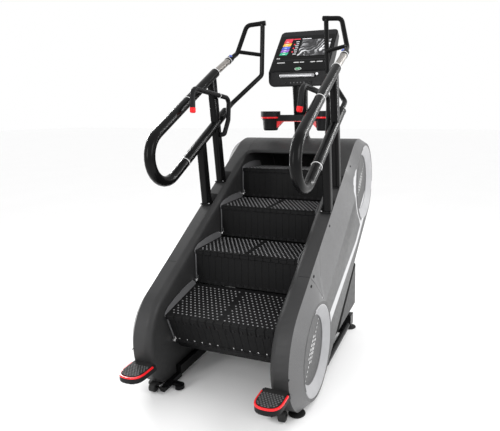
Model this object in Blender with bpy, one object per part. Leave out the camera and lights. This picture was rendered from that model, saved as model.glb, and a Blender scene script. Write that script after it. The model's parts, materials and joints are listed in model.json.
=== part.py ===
"""Stair climber: a revolving flight of steps between two belt-shaped side shrouds, with handrails
and a touch console. Metres, +X to the user's right, +Y from the user towards the console, +Z up."""

import math

import bpy
from mathutils import Matrix, Vector

# Flight of steps
RISE = 0.210
RUN = 0.335
PITCH = math.hypot(RISE, RUN)
SLOPE = math.atan2(RISE, RUN)
STEP_HALF_WIDTH = 0.326
STEP_PLATE = 0.012
RISER_PLATE = 0.008
STRAIGHT_STEPS = 3
PIN_GAP = 0.004
BACK_FLANGE = 0.080

# Chain and its two shafts
LOWER_HUB = (-0.510, 0.2805)
HUB_SPAN = 1.376
SPROCKET_RADIUS = 0.100
FIRST_PIN = 0.247
SHAFT_RADIUS = 0.020
SPROCKETS = (-0.292, 0.292)
SPROCKET_DISC = 0.072
SLOT_RADIUS = 0.096
DRIVEN_WHEEL = (0.200, 0.215, 0.060)
PULLEY_CENTRE = (0.300, 0.660)

# Side shrouds
INNER_X = 0.336
EDGE_X = 0.440
OUTER_X = 0.4916
SHROUD_RADIUS = 0.314
BELLY_Z = 0.012
SHELL = 0.010
EDGE_ROUND = 0.038
LOWER_WHEEL_RADIUS = 0.2536
UPPER_WHEEL_RADIUS = 0.282
CREASE_HEIGHT = 0.104
LOWER_RIM = (0.239, 0.184)
UPPER_RIM = (0.2665, 0.202)
DISH_FLOOR_X = 0.4585
RING_THICKNESS = 0.004
SEAM_ANGLE = math.radians(68.7)
GAP = 0.0004

# Hood
HOOD_RADIUS = 0.3135
HOOD_SHEET = 0.006
LIP_ALONG = 1.308
LIP_CORNER = 0.045
LIP_ROUND = 0.018

# Floor contact
FRONT_FOOT = (0.425, -0.663)
REAR_FOOT = (0.452, 0.395)
FOOT_HOLE = 0.0105
WHEEL_CENTRE = (0.380, -0.748, 0.030)
WHEEL_RADIUS = 0.027
WHEEL_HALF_WIDTH = 0.018

# Step-up platforms
PLATFORM_CENTRE = (0.377, -0.8896)
PLATFORM_HALF_SIZE = (0.070, 0.080)
PLATFORM_BOTTOM = 0.173
PLATFORM_TOP = 0.2065

# Handrails
RAIL_X = 0.414
RAIL_RADIUS = 0.0305
TUBE_RADIUS = 0.0165
POST_HALF_SIZE = (0.025, 0.035)
UBEND_CENTRE = (-0.4905, 1.280)
UBEND_RADIUS = 0.145
RAIL_SLOPE = math.radians(29.0)
UPPER_RAIL_END = (0.111, 1.781)
LOWER_RAIL_END = (0.243, 1.527)
SENSOR_END = (0.307, 1.879)

# Console
CONSOLE_FOOT = (0.585, 1.811)
CONSOLE_TILT = math.atan2(0.744, 0.669)
CONSOLE_HALF_WIDTH = 0.228
CONSOLE_LENGTH = 0.445

COLOURS = {
    "graphite": ((0.062, 0.062, 0.064), 0.55, 0.0),
    "mid_grey": ((0.215, 0.215, 0.218), 0.45, 0.0),
    "silver": ((0.62, 0.62, 0.63), 0.35, 0.6),
    "black_paint": ((0.012, 0.012, 0.012), 0.35, 0.0),
    "black_plastic": ((0.018, 0.018, 0.019), 0.5, 0.0),
    "rubber": ((0.020, 0.020, 0.020), 0.8, 0.0),
    "step": ((0.016, 0.016, 0.017), 0.6, 0.0),
    "steel": ((0.45, 0.45, 0.46), 0.35, 1.0),
    "sensor": ((0.30, 0.28, 0.26), 0.3, 1.0),
    "red": ((0.75, 0.01, 0.015), 0.35, 0.0),
    "gloss_black": ((0.006, 0.006, 0.007), 0.08, 0.0),
    "screen": ((0.02, 0.03, 0.05), 0.1, 0.0),
    "green": ((0.02, 0.45, 0.18), 0.3, 0.0),
    "button": ((0.10, 0.16, 0.42), 0.35, 0.0),
}


def clear_scene():
    for obj in list(bpy.data.objects):
        bpy.data.objects.remove(obj, do_unlink=True)


def make_material(name, colour_name):
    colour, roughness, metallic = COLOURS[colour_name]
    material = bpy.data.materials.new(name)
    material.use_nodes = True
    shader = material.node_tree.nodes["Principled BSDF"]
    shader.inputs["Base Color"].default_value = (*colour, 1.0)
    shader.inputs["Roughness"].default_value = roughness
    shader.inputs["Metallic"].default_value = metallic
    return material


# Shapes are (vertices, faces) pairs until finish() makes them objects.


def flipped(shape):
    vertices, faces = shape
    return vertices, [tuple(reversed(face)) for face in faces]


def outward(shape):
    """The same closed shape with its faces turned out."""
    vertices, faces = shape
    volume = 0.0
    for face in faces:
        first = Vector(vertices[face[0]])
        for second, third in zip(face[1:], face[2:]):
            volume += first.dot(Vector(vertices[second]).cross(Vector(vertices[third])))
    return shape if volume > 0 else flipped(shape)


def mirrored(shape):
    vertices, faces = shape
    return flipped(([(-x, y, z) for x, y, z in vertices], faces))


def loft(rings, closed=False):
    """Skins matching rings of points, with flat caps unless the rings close on themselves."""
    count = len(rings[0])
    vertices = [tuple(point) for ring in rings for point in ring]
    faces = []
    spans = len(rings) if closed else len(rings) - 1
    for k in range(spans):
        here = k * count
        there = (k + 1) % len(rings) * count
        for i in range(count):
            j = (i + 1) % count
            faces.append((here + i, here + j, there + j, there + i))
    if not closed:
        faces.append(tuple(reversed(range(count))))
        faces.append(tuple(range(len(vertices) - count, len(vertices))))
    return outward((vertices, faces))


def slab(outline, low_x, high_x):
    """An outline of (y, z) points extruded along X."""
    return loft([[(x, y, z) for y, z in outline] for x in (low_x, high_x)])


def box(low, high):
    (x0, y0, z0), (x1, y1, z1) = low, high
    return slab([(y0, z0), (y1, z0), (y1, z1), (y0, z1)], x0, x1)


def lathe(profile, origin, axis, sides=24):
    """Revolves (radius, height) points round an axis; radius 0 at both ends closes the body."""
    axis = Vector(axis).normalized()
    across = axis.orthogonal().normalized()
    other = axis.cross(across)
    origin = Vector(origin)
    vertices = []
    starts = []
    for radius, height in profile:
        starts.append(len(vertices))
        turns = 1 if radius == 0 else sides
        for k in range(turns):
            angle = 2 * math.pi * k / sides
            offset = across * math.cos(angle) + other * math.sin(angle)
            vertices.append(tuple(origin + axis * height + offset * radius))
    faces = []
    for index in range(len(profile) - 1):
        low, high = starts[index], starts[index + 1]
        for k in range(sides):
            n = (k + 1) % sides
            ring = [low, high] if profile[index][0] == 0 else [low + k, low + n]
            if profile[index][0] == 0:
                faces.append((low, high + n, high + k))
            elif profile[index + 1][0] == 0:
                faces.append((ring[0], ring[1], high))
            else:
                faces.append((ring[0], ring[1], high + n, high + k))
    return outward((vertices, faces))


def drum(start, end, radius, sides=24):
    start, end = Vector(start), Vector(end)
    length = (end - start).length
    profile = [(0, 0), (radius, 0), (radius, length), (0, length)]
    return lathe(profile, start, end - start, sides)


def rounded_path(corners, radius, steps=5):
    """A polyline with its corners turned into arcs, of one radius or of one each."""
    corners = [Vector(corner) for corner in corners]
    radii = radius if isinstance(radius, tuple) else (radius,) * (len(corners) - 2)
    path = [corners[0]]
    for before, corner, after, radius in zip(corners, corners[1:], corners[2:], radii):
        back = (before - corner).normalized()
        forward = (after - corner).normalized()
        half = back.angle(forward) / 2
        shorter = min((before - corner).length, (after - corner).length)
        reach = min(radius / math.tan(half), shorter * 0.49)
        turn = reach * math.tan(half)
        centre = corner + (back + forward).normalized() * (turn / math.sin(half))
        first = corner + back * reach - centre
        last = corner + forward * reach - centre
        for k in range(steps + 1):
            path.append(centre + first.slerp(last, k / steps) * turn)
    path.append(corners[-1])
    return path


def tube(path, half_width, half_depth=None, sides=14, across=(1, 0, 0)):
    """Sweeps a round or oval section along a path; across is the section's first direction."""
    half_depth = half_depth or half_width
    path = [Vector(point) for point in path]
    side = Vector(across)
    rings = []
    for index, point in enumerate(path):
        ahead = path[min(index + 1, len(path) - 1)] - path[max(index - 1, 0)]
        ahead.normalize()
        side = (side - ahead * side.dot(ahead)).normalized()
        up = ahead.cross(side)
        ring = []
        for k in range(sides):
            angle = 2 * math.pi * k / sides
            wide, deep = half_width * math.cos(angle), half_depth * math.sin(angle)
            ring.append(point + side * wide + up * deep)
        rings.append(ring)
    return loft(rings)


def post(low, high):
    """A rectangular tube with well rounded corners between two (y, z) places under the rail."""
    rings = []
    for y, z in (low, high):
        ring = []
        for k in range(20):
            angle = 2 * math.pi * k / 20
            c, s = math.cos(angle), math.sin(angle)
            x = RAIL_X + POST_HALF_SIZE[0] * math.copysign(abs(c) ** 0.55, c)
            ring.append((x, y + POST_HALF_SIZE[1] * math.copysign(abs(s) ** 0.55, s), z))
        rings.append(ring)
    return loft(rings)


def arc(centre, radius, start, end, steps):
    """(y, z) points on an arc, angles in radians from +Y towards +Z."""
    points = []
    for k in range(steps + 1):
        points.append(on_arc(centre, radius, start + (end - start) * k / steps))
    return points


def on_arc(centre, radius, angle):
    return (centre[0] + radius * math.cos(angle), centre[1] + radius * math.sin(angle))


def temporary(shape):
    vertices, faces = shape
    mesh = bpy.data.meshes.new("temporary")
    mesh.from_pydata(vertices, [], faces)
    obj = bpy.data.objects.new("temporary", mesh)
    bpy.context.collection.objects.link(obj)
    return obj


def combined(shape, others, operation):
    """The Boolean union, difference or intersection of one shape with each of the others."""
    body = temporary(shape)
    tools = [temporary(other) for other in others]
    for tool in tools:
        modifier = body.modifiers.new("combine", "BOOLEAN")
        modifier.operation = operation
        modifier.solver = "EXACT"
        modifier.object = tool
    graph = bpy.context.evaluated_depsgraph_get()
    mesh = body.evaluated_get(graph).to_mesh()
    vertices = [tuple(vertex.co) for vertex in mesh.vertices]
    faces = [tuple(polygon.vertices) for polygon in mesh.polygons]
    for obj in [body, *tools]:
        bpy.data.objects.remove(obj, do_unlink=True)
    return vertices, faces


def finish(name, shape, colour_name, pivot=(0, 0, 0), bevel=0.0, sharp=35):
    """Makes the named object of a shape, with its origin at the pivot."""
    vertices, faces = shape
    mesh = bpy.data.meshes.new(name)
    mesh.from_pydata([tuple(Vector(vertex) - Vector(pivot)) for vertex in vertices], [], faces)
    mesh.validate()
    mesh.materials.append(make_material(name, colour_name))
    obj = bpy.data.objects.new(name, mesh)
    obj.location = pivot
    bpy.context.collection.objects.link(obj)
    if bevel:
        modifier = obj.modifiers.new("edges", "BEVEL")
        modifier.width = bevel
        modifier.segments = 2
        modifier.limit_method = "ANGLE"
        modifier.angle_limit = math.radians(40)
    mesh.shade_smooth()
    mesh.set_sharp_from_angle(angle=math.radians(sharp))


def pair(name, shape, colour_name, pivot=(0, 0, 0), **more):
    finish("right_" + name, shape, colour_name, pivot, **more)
    finish("left_" + name, mirrored(shape), colour_name, (-pivot[0], pivot[1], pivot[2]), **more)


# Places along the belt: along runs up the slope from the lower hub, height stands square to it.


def on_belt(along, height):
    return (
        LOWER_HUB[0] + along * math.cos(SLOPE) - height * math.sin(SLOPE),
        LOWER_HUB[1] + along * math.sin(SLOPE) + height * math.cos(SLOPE),
    )


UPPER_HUB = on_belt(HUB_SPAN, 0)


def chain_point(travel):
    """The pitch line's (y, z) at a travel from the lower sprocket's top tangent, up the slope positive."""
    if travel < -math.pi * SPROCKET_RADIUS:
        return on_belt(-travel - math.pi * SPROCKET_RADIUS, -SPROCKET_RADIUS)
    if travel < 0:
        angle = SLOPE + math.pi / 2 - travel / SPROCKET_RADIUS
        return on_arc(LOWER_HUB, SPROCKET_RADIUS, angle)
    if travel < HUB_SPAN:
        return on_belt(travel, SPROCKET_RADIUS)
    beyond = travel - HUB_SPAN
    if beyond < math.pi * SPROCKET_RADIUS:
        angle = SLOPE + math.pi / 2 - beyond / SPROCKET_RADIUS
        return on_arc(UPPER_HUB, SPROCKET_RADIUS, angle)
    return on_belt(HUB_SPAN - beyond + math.pi * SPROCKET_RADIUS, -SPROCKET_RADIUS)


def pin(index):
    """Pin 1 joins the back of tread 1 to the foot of riser 2, and so on up."""
    return chain_point(FIRST_PIN + (index - 1) * PITCH)


def nosing(index):
    """Where the front of a tread meets the top of its riser, on the outer side of its two pins."""
    back, foot = Vector(pin(index)), Vector(pin(index - 1))
    span = foot - back
    cosine = (RUN**2 + span.length_squared - RISE**2) / (2 * RUN * span.length)
    angle = math.atan2(span.y, span.x) - math.acos(cosine)
    return (back.x + RUN * math.cos(angle), back.y + RUN * math.sin(angle))


def sprocket_slots(hub):
    """Clearance for the sprockets through a step that is turning round a shaft."""
    slots = [drum((x - 0.010, *hub), (x + 0.010, *hub), SLOT_RADIUS) for x in SPROCKETS]
    if hub == UPPER_HUB:
        low, high, _ = DRIVEN_WHEEL
        slots.append(drum((low - 0.010, *hub), (high + 0.010, *hub), SLOT_RADIUS))
    return slots


def step_shape(index, back_gap=PIN_GAP):
    """Tread and riser as one L, the riser's foot short of the next pin down."""
    back, front, foot = Vector(pin(index)), Vector(nosing(index)), Vector(pin(index - 1))
    along = (back - front).normalized()
    down = (foot - front).normalized()
    outline = [
        back - along * back_gap,
        front - along * 0.006 + down * 0.004,
        front - along * 0.006 + down * 0.026,
        front + down * 0.030,
        foot - down * PIN_GAP,
        foot - down * PIN_GAP + along * RISER_PLATE,
        front + down * STEP_PLATE + along * RISER_PLATE,
        back - along * back_gap + down * STEP_PLATE,
    ]
    return slab([tuple(point) for point in outline], -STEP_HALF_WIDTH, STEP_HALF_WIDTH)


def build_steps():
    for index in range(2, 1 + STRAIGHT_STEPS):
        finish(f"step_{index}", step_shape(index), "step")
    build_turning_step()
    for index, pivot in ((4, (0, 0, 0)), (5, (0, *pin(4)))):
        slotted = combined(step_shape(index), sprocket_slots(UPPER_HUB), "DIFFERENCE")
        finish(f"step_{index}", slotted, "step", pivot)
    build_return_step()


def build_return_step():
    """The step below the lowest riser: its tread's back edge is turned down, and shows under the riser."""
    back, above = Vector(pin(0)), Vector(nosing(1))
    fall = (back - above).normalized()
    fall.rotate(Matrix.Rotation(math.radians(14), 2))
    inward = Vector((-fall.y, fall.x))
    start = back + inward * 0.018 + fall * 0.002
    outline = [
        start - inward * 0.012,
        start - inward * 0.012 + fall * (BACK_FLANGE - 0.010),
        start + fall * BACK_FLANGE,
        start + fall * (BACK_FLANGE - 0.014),
        start + inward * 0.002,
    ]
    flange = slab([tuple(point) for point in outline], -STEP_HALF_WIDTH, STEP_HALF_WIDTH)
    slotted = combined(step_shape(0, 0.014), sprocket_slots(LOWER_HUB), "DIFFERENCE")
    finish("step_0", combined(slotted, [flange], "UNION"), "step", (0, *pin(0)))


def build_turning_step():
    """The lowest step folds as it turns round the lower shaft, so its tread and riser are separate."""
    back, front, foot = Vector(pin(1)), Vector(nosing(1)), Vector(pin(0))
    along = (back - front).normalized()
    down = Vector((along.y, -along.x))
    outline = [
        back - along * PIN_GAP,
        front - along * 0.006,
        front - along * 0.006 + down * 0.024,
        front + along * 0.012 + down * 0.024,
        front + along * 0.016 + down * STEP_PLATE,
        back - along * PIN_GAP + down * STEP_PLATE,
    ]
    tread = slab([tuple(point) for point in outline], -STEP_HALF_WIDTH, STEP_HALF_WIDTH)
    finish("tread_1", tread, "step", (0, *pin(1)))
    hinge = front + along * 0.004 + down * 0.020
    fall = (foot - front).normalized()
    inward = Vector((-fall.y, fall.x))
    outline = [
        front + fall * 0.031 + inward * 0.002,
        foot - fall * PIN_GAP,
        foot - fall * PIN_GAP + inward * RISER_PLATE,
        front + fall * 0.031 + inward * (0.002 + RISER_PLATE),
    ]
    riser = slab([tuple(point) for point in outline], -STEP_HALF_WIDTH, STEP_HALF_WIDTH)
    finish("riser_1", riser, "step", (0, *hinge))


def belt_outlines(inset=0.0):
    """Matching outlines of the shroud's edge and of its cover's raised face, both drawn in by inset."""
    up = SLOPE + math.pi / 2
    edge_radius = SHROUD_RADIUS - inset
    crease = CREASE_HEIGHT - inset
    ends = []
    for hub, wheel in ((LOWER_HUB, LOWER_WHEEL_RADIUS), (UPPER_HUB, UPPER_WHEEL_RADIUS)):
        radius = wheel - inset
        ends.append((hub, radius, math.asin(crease / radius)))
    (low_hub, low_radius, low_lean), (high_hub, high_radius, high_lean) = ends
    pairs = []
    for k in range(25):
        angle = up + math.pi * (1 - k / 24)
        pairs.append((on_arc(low_hub, edge_radius, angle), on_arc(low_hub, low_radius, angle)))
    for k in range(1, 9):
        angle = up - (math.pi / 2 - low_lean) * k / 8
        pairs.append((on_belt(0.045 * k, edge_radius), on_arc(low_hub, low_radius, angle)))
    for k in range(8):
        angle = up + (math.pi / 2 - high_lean) * (1 - k / 8)
        edge = on_belt(HUB_SPAN - 0.045 * (8 - k), edge_radius)
        pairs.append((edge, on_arc(high_hub, high_radius, angle)))
    for k in range(25):
        angle = up - math.pi * k / 24
        pairs.append((on_arc(high_hub, edge_radius, angle), on_arc(high_hub, high_radius, angle)))
    edge = [(y, max(z, BELLY_Z + inset)) for (y, z), _ in pairs]
    face = [(y, max(z, BELLY_Z + inset)) for _, (y, z) in pairs]
    return edge, face


def cone_tool(centre, radii, extra, overshoot=0.010):
    """A dish cutter whose wall passes through the rim and floor radii, grown by extra."""
    rim, floor = radii
    widen = (rim - floor) / (OUTER_X - DISH_FLOOR_X)
    profile = [
        (0, DISH_FLOOR_X - extra),
        (floor + extra * 0.3, DISH_FLOOR_X - extra),
        (rim + overshoot * widen + extra * 0.3, OUTER_X + overshoot),
        (0, OUTER_X + overshoot),
    ]
    return lathe(profile, (0, *centre), (1, 0, 0), 48)


def ring_shape(centre, radii):
    """The bright conical lining of a dish."""
    rim, floor = radii
    lift = RING_THICKNESS
    sides = 48
    profile = [
        (rim - 0.0014, OUTER_X),
        (rim - 0.0070, OUTER_X + 0.0015),
        (floor - 0.0045, DISH_FLOOR_X + lift),
        (floor - 0.0045, DISH_FLOOR_X + GAP),
        (floor - 0.0014, DISH_FLOOR_X + GAP),
    ]
    rings = []
    for k in range(sides):
        angle = 2 * math.pi * k / sides
        rings.append(
            [
                (height, centre[0] + radius * math.cos(angle), centre[1] + radius * math.sin(angle))
                for radius, height in profile
            ]
        )
    return loft(rings, closed=True)


def seam_tool(radius, shift):
    """The lower cover's plan: the wheel, and everything forward of the seam line."""
    start = SEAM_ANGLE - shift
    wheel = arc(LOWER_HUB, radius, -math.pi / 2, start, 20)
    far = 0.6
    outline = wheel + [
        (LOWER_HUB[0] + far * math.cos(start), LOWER_HUB[1] + far * math.sin(start)),
        (LOWER_HUB[0] - far, LOWER_HUB[1] + far),
        (LOWER_HUB[0] - far, LOWER_HUB[1] - far),
        (LOWER_HUB[0], LOWER_HUB[1] - far),
    ]
    return slab(outline, EDGE_X - 0.02, OUTER_X + 0.05)


def shroud_cavity(extra):
    """The hollow of a shroud behind its cover, left solid where the posts and the front foot stand."""
    edge, _ = belt_outlines(SHELL)
    blocks = [
        box((INNER_X, -0.150, 0.840), (EDGE_X, 0.030, 1.100)),
        box((INNER_X, 0.050, 0.950), (EDGE_X, 0.240, 1.250)),
        box((INNER_X, -0.710, 0.000), (EDGE_X, -0.610, 0.060)),
    ]
    return combined(slab(edge, INNER_X + SHELL + 0.012, EDGE_X + extra), blocks, "DIFFERENCE")


def cover_cavity():
    """The hollow behind a cover, open to the shroud and stopping short of both dishes."""
    edge, face = belt_outlines(SHELL * 0.8)
    rings = [
        [(EDGE_X - 0.004, y, z) for y, z in edge],
        [(OUTER_X - SHELL * 0.7, y, z) for y, z in face],
    ]
    dishes = []
    for hub, (rim, floor) in ((LOWER_HUB, LOWER_RIM), (UPPER_HUB, UPPER_RIM)):
        dishes.append(cone_tool(hub, (rim + 0.010, floor + 0.010), GAP + 0.008))
    return combined(loft(rings), dishes, "DIFFERENCE")


def edge_section(radius, round_radius):
    """(out, height) corners of what a rounded edge takes away, out measured from the opening's wall."""
    points = [(round_radius, radius + 0.010), (-0.004, radius + 0.010), (-0.004, radius - round_radius)]
    for k in range(7):
        angle = math.pi / 2 * k / 6
        lean = round_radius * (1 - math.cos(angle))
        points.append((lean, radius - round_radius + round_radius * math.sin(angle)))
    return points


def opening_edge(radius):
    """Sweeps the rounded edge round the step opening: up one shroud, along the hood's lip, down the other."""
    up = SLOPE + math.pi / 2
    rings = []
    for k in range(25):
        angle = up + math.radians(170) * (1 - k / 24)
        section = edge_section(radius, EDGE_ROUND)
        rings.append([(INNER_X + out, *on_arc(LOWER_HUB, height, angle)) for out, height in section])
    start = LIP_ALONG - LIP_CORNER
    for along, round_radius in ((start - 0.120, EDGE_ROUND), (start, LIP_ROUND)):
        section = edge_section(radius, round_radius)
        rings.append([(INNER_X + out, *on_belt(along, height)) for out, height in section])
    section = edge_section(radius, LIP_ROUND)
    for k in range(1, 9):
        angle = math.pi / 2 * k / 8
        ring = []
        for out, height in section:
            reach = LIP_CORNER + out
            x = INNER_X - LIP_CORNER + reach * math.cos(angle)
            ring.append((x, *on_belt(start + reach * math.sin(angle), height)))
        rings.append(ring)
    opposite = [[(-x, y, z) for x, y, z in ring] for ring in reversed(rings)]
    return loft(rings + opposite)


def build_shrouds():
    edge, face = belt_outlines()
    x, y = FRONT_FOOT
    tools = [
        notch_tool(-0.085, 0.0, 0.925),
        notch_tool(0.115, 0.2, 1.045),
        drum((x, y, BELLY_Z - 0.010), (x, y, BELLY_Z + 0.032), FOOT_HOLE, 16),
        shroud_cavity(0.010),
        opening_edge(SHROUD_RADIUS),
    ]
    core = combined(slab(edge, INNER_X, EDGE_X), tools, "DIFFERENCE")
    pair("side_shroud", core, "graphite")
    cover = loft([[(EDGE_X + GAP, y, z) for y, z in edge], [(OUTER_X, y, z) for y, z in face]])
    tools = [cone_tool(LOWER_HUB, LOWER_RIM, GAP), cone_tool(UPPER_HUB, UPPER_RIM, GAP), cover_cavity()]
    cover = combined(cover, tools, "DIFFERENCE")
    lower = combined(cover, [seam_tool(LOWER_WHEEL_RADIUS, 0)], "INTERSECT")
    upper = combined(cover, [seam_tool(LOWER_WHEEL_RADIUS + 0.0015, 0.004)], "DIFFERENCE")
    pair("lower_cover", lower, "mid_grey")
    pair("upper_cover", upper, "mid_grey")
    pair("lower_ring", ring_shape(LOWER_HUB, LOWER_RIM), "silver")
    pair("upper_ring", ring_shape(UPPER_HUB, UPPER_RIM), "silver")


def notch_tool(front_y, back_y, floor_z):
    """The stepped recess that a post's foot stands in, open to the outer edge."""
    front, top = front_y - 0.05, floor_z + 0.25
    outline = [(front, floor_z), (back_y, floor_z), (back_y + 0.08, top), (front, top)]
    return slab(outline, 0.368, EDGE_X + 0.05)


def build_rear_panels():
    """The block that carries the belt behind its lower wheel, with its outer face chamfered."""
    inset = 0.038
    bottom, rear = 0.105, 0.430
    height = -SHROUD_RADIUS - 0.002

    def belt_z(y, drop):
        return LOWER_HUB[1] + (y - LOWER_HUB[0]) * math.tan(SLOPE) + drop / math.cos(SLOPE)

    def belt_y(z, drop):
        return LOWER_HUB[0] + (z - LOWER_HUB[1] - drop / math.cos(SLOPE)) / math.tan(SLOPE)

    def outline(low, back, drop):
        return [(belt_y(low, drop), low), (back, low), (back, belt_z(back, drop))]

    rings = [
        [(INNER_X, y, z) for y, z in outline(bottom, rear, height)],
        [(EDGE_X, y, z) for y, z in outline(bottom, rear, height)],
        [(OUTER_X - 0.002, y, z) for y, z in outline(bottom + 0.085, rear - inset, height)],
    ]
    hollow = outline(bottom - 0.050, rear - 0.012, height - 0.016)
    tool = slab(hollow, INNER_X + SHELL, EDGE_X - SHELL)
    pair("rear_panel", combined(loft(rings), [tool], "DIFFERENCE"), "graphite")


def build_base():
    """Welded floor frame: two long rails, cross tubes, side tubes, rear legs and front brackets."""
    shapes = []
    holes = []
    x, y, z = WHEEL_CENTRE
    for side in (-1, 1):
        shapes += [
            box_between(side * 0.300, side * 0.330, -0.600, 0.425, 0.034, 0.090),
            drum((side * 0.462, -0.256, 0.067), (side * 0.462, 0.280, 0.067), 0.018, 16),
            box_between(side * 0.325, side * 0.455, 0.180, 0.230, 0.052, 0.084),
            box_between(side * 0.325, side * 0.470, 0.350, 0.4245, 0.026, 0.100),
            box_between(side * 0.325, side * 0.455, -0.235, -0.195, 0.052, 0.078),
            box_between(side * 0.301, side * 0.329, y - 0.014, -0.590, 0.020, 0.046),
            drum((side * 0.315, y, z), (side * (x + WHEEL_HALF_WIDTH + 0.003), y, z), 0.006, 16),
            box_between(side * 0.246, side * 0.305, -0.690, -0.660, 0.020, 0.034),
            drum((side * 0.262, -0.675, 0.004), (side * 0.262, -0.675, 0.025), 0.026, 20),
        ]
        foot_x, foot_y = REAR_FOOT
        holes.append(drum((side * foot_x, foot_y, 0.010), (side * foot_x, foot_y, 0.062), FOOT_HOLE, 16))
    shapes.append(box_between(-0.31, 0.31, 0.370, 0.4249, 0.0345, 0.0895))
    shapes.append(box_between(-0.31, 0.31, -0.020, 0.030, 0.0345, 0.0605))
    frame = combined(shapes[0], shapes[1:], "UNION")
    finish("base_frame", combined(frame, holes, "DIFFERENCE"), "black_paint")


def box_between(x0, x1, y0, y1, z0, z1):
    return box((min(x0, x1), y0, z0), (max(x0, x1), y1, z1))


def foot_shape(x, y, top):
    """A levelling foot: a round pad under a threaded stem."""
    profile = [
        (0, 0),
        (0.042, 0),
        (0.045, 0.003),
        (0.043, 0.007),
        (0.016, 0.0105),
        (0.010, 0.011),
        (0.010, top),
        (0, top),
    ]
    return lathe(profile, (x, y, 0), (0, 0, 1), 20)


def build_feet():
    x, y = FRONT_FOOT
    pair("front_foot", foot_shape(x, y, BELLY_Z + 0.028), "black_paint", (x, y, 0))
    x, y = REAR_FOOT
    pair("rear_foot", foot_shape(x, y, 0.058), "black_paint", (x, y, 0))


def build_wheels():
    """Transport wheels on short axles in front of the shrouds' lower ends, just clear of the floor."""
    radius, half, bore = WHEEL_RADIUS, WHEEL_HALF_WIDTH, 0.0063
    profile = [
        (bore, -half),
        (radius - 0.003, -half),
        (radius, -half + 0.003),
        (radius, half - 0.003),
        (radius - 0.003, half),
        (bore, half),
    ]
    x, y, z = WHEEL_CENTRE
    rings = []
    for k in range(24):
        angle = 2 * math.pi * k / 24
        rings.append([(x + offset, *on_arc((y, z), r, angle)) for r, offset in profile])
    pair("transport_wheel", loft(rings, closed=True), "rubber", WHEEL_CENTRE)


def platform_outline(inset=0.0):
    """Plan of a step-up platform: a tongue with a rounded front that runs back into the shroud."""
    half_x, half_y = PLATFORM_HALF_SIZE[0] - inset, PLATFORM_HALF_SIZE[1] - inset
    points = [(half_x, 0.190), (-half_x, 0.190)]
    for k in range(13):
        angle = math.pi + math.pi * k / 12
        c, s = math.cos(angle), math.sin(angle)
        points.append((half_x * math.copysign(abs(c) ** 0.75, c), half_y * -abs(s) ** 0.75))
    return [(PLATFORM_CENTRE[0] + x, PLATFORM_CENTRE[1] + y) for x, y in points]


def upright(outline, z0, z1):
    return loft([[(x, y, z) for x, y in outline] for z in (z0, z1)])


def build_platforms():
    steps = 72
    clearance = [
        on_arc(LOWER_HUB, SHROUD_RADIUS + 0.0005, 2 * math.pi * k / steps) for k in range(steps)
    ]
    tool = slab(clearance, INNER_X - 0.06, OUTER_X)
    body = combined(upright(platform_outline(), PLATFORM_BOTTOM, PLATFORM_TOP), [tool], "DIFFERENCE")
    pair("platform", body, "black_plastic", bevel=0.003)
    pad = upright(platform_outline(0.010), PLATFORM_TOP + 0.0005, PLATFORM_TOP + 0.005)
    pair("platform_pad", combined(pad, [tool], "DIFFERENCE"), "rubber")


def build_handrails():
    up = RAIL_SLOPE + math.pi / 2
    bend = arc(UBEND_CENTRE, UBEND_RADIUS, up, up + math.pi, 14)
    path = [UPPER_RAIL_END, *bend, LOWER_RAIL_END]
    rail = tube([(RAIL_X, y, z) for y, z in path], RAIL_RADIUS, sides=16)
    posts = [
        post((-0.053, 0.9310), (-0.101, 1.335)),
        post((0.150, 1.0515), (0.058, 1.748)),
        box((0.374, -0.093, 0.9254), (0.4395, -0.013, 0.933)),
        box((0.374, 0.108, 1.0454), (0.4395, 0.188, 1.053)),
    ]
    pair("handrail", combined(rail, posts, "UNION"), "black_paint")


def build_grips():
    start, end = Vector((RAIL_X, *UPPER_RAIL_END)), Vector((RAIL_X, *SENSOR_END))
    ahead = (end - start).normalized()
    first, last = start + ahead * 0.001, end - ahead * 0.001
    pair("pulse_sensor", drum(first, last, 0.0225, 20), "sensor")
    corners = [
        end + ahead * 0.008,
        (0.405, 0.427, 1.939),
        (0.350, 0.483, 2.139),
        (0.236, 0.506, 2.150),
        (0.247, 0.502, 1.786),
        (RAIL_X, 0.345, 1.584),
        (RAIL_X, 0.2445, 1.5278),
    ]
    loop = tube(rounded_path(corners, (0.045, 0.045, 0.019, 0.045, 0.045)), TUBE_RADIUS, sides=12)
    outer, inner = Vector(corners[2]), Vector(corners[3])
    inward = (inner - outer).normalized()
    top_cap = drum(inner - inward * 0.020, inner + inward * 0.022, TUBE_RADIUS + 0.0012, 16)
    cross = tube([(0.402, 0.431, 1.952), (0.249, 0.492, 1.930)], 0.014, sides=10, across=(0, 0, 1))
    housing = drum(end, end + ahead * 0.045, 0.0235, 16)
    pair("upper_loop", combined(loop, [cross, housing, top_cap], "UNION"), "black_paint")
    centre = end + ahead * 0.022
    outward_dir = Vector((-0.45, -0.55, 0.70))
    outward_dir = (outward_dir - ahead * outward_dir.dot(ahead)).normalized()
    base = centre + outward_dir * 0.0256
    button = lathe([(0, 0), (0.011, 0), (0.011, 0.004), (0.009, 0.006), (0, 0.006)], base, outward_dir, 16)
    pair("thumb_button", button, "button", tuple(base))
    corners = [
        (RAIL_X - 0.0290, 0.107, 1.372),
        (0.360, 0.112, 1.374),
        (0.352, 0.160, 1.470),
        (0.350, 0.172, 1.615),
        (0.338, -0.305, 1.662),
        (0.330, -0.322, 1.548),
    ]
    grip = tube(rounded_path(corners, 0.048), 0.0158, sides=12, across=(0, 0, 1))
    pair("assist_grip", grip, "black_plastic")
    tip, before = Vector(corners[-1]), Vector(corners[-2])
    fall = (tip - before).normalized()
    profile = [(0, 0), (0.0165, 0), (0.0172, 0.004), (0.0172, 0.024), (0.0125, 0.029), (0, 0.0305)]
    pair("grip_cap", lathe(profile, tip + fall * 0.0006, fall, 20), "red")


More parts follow.
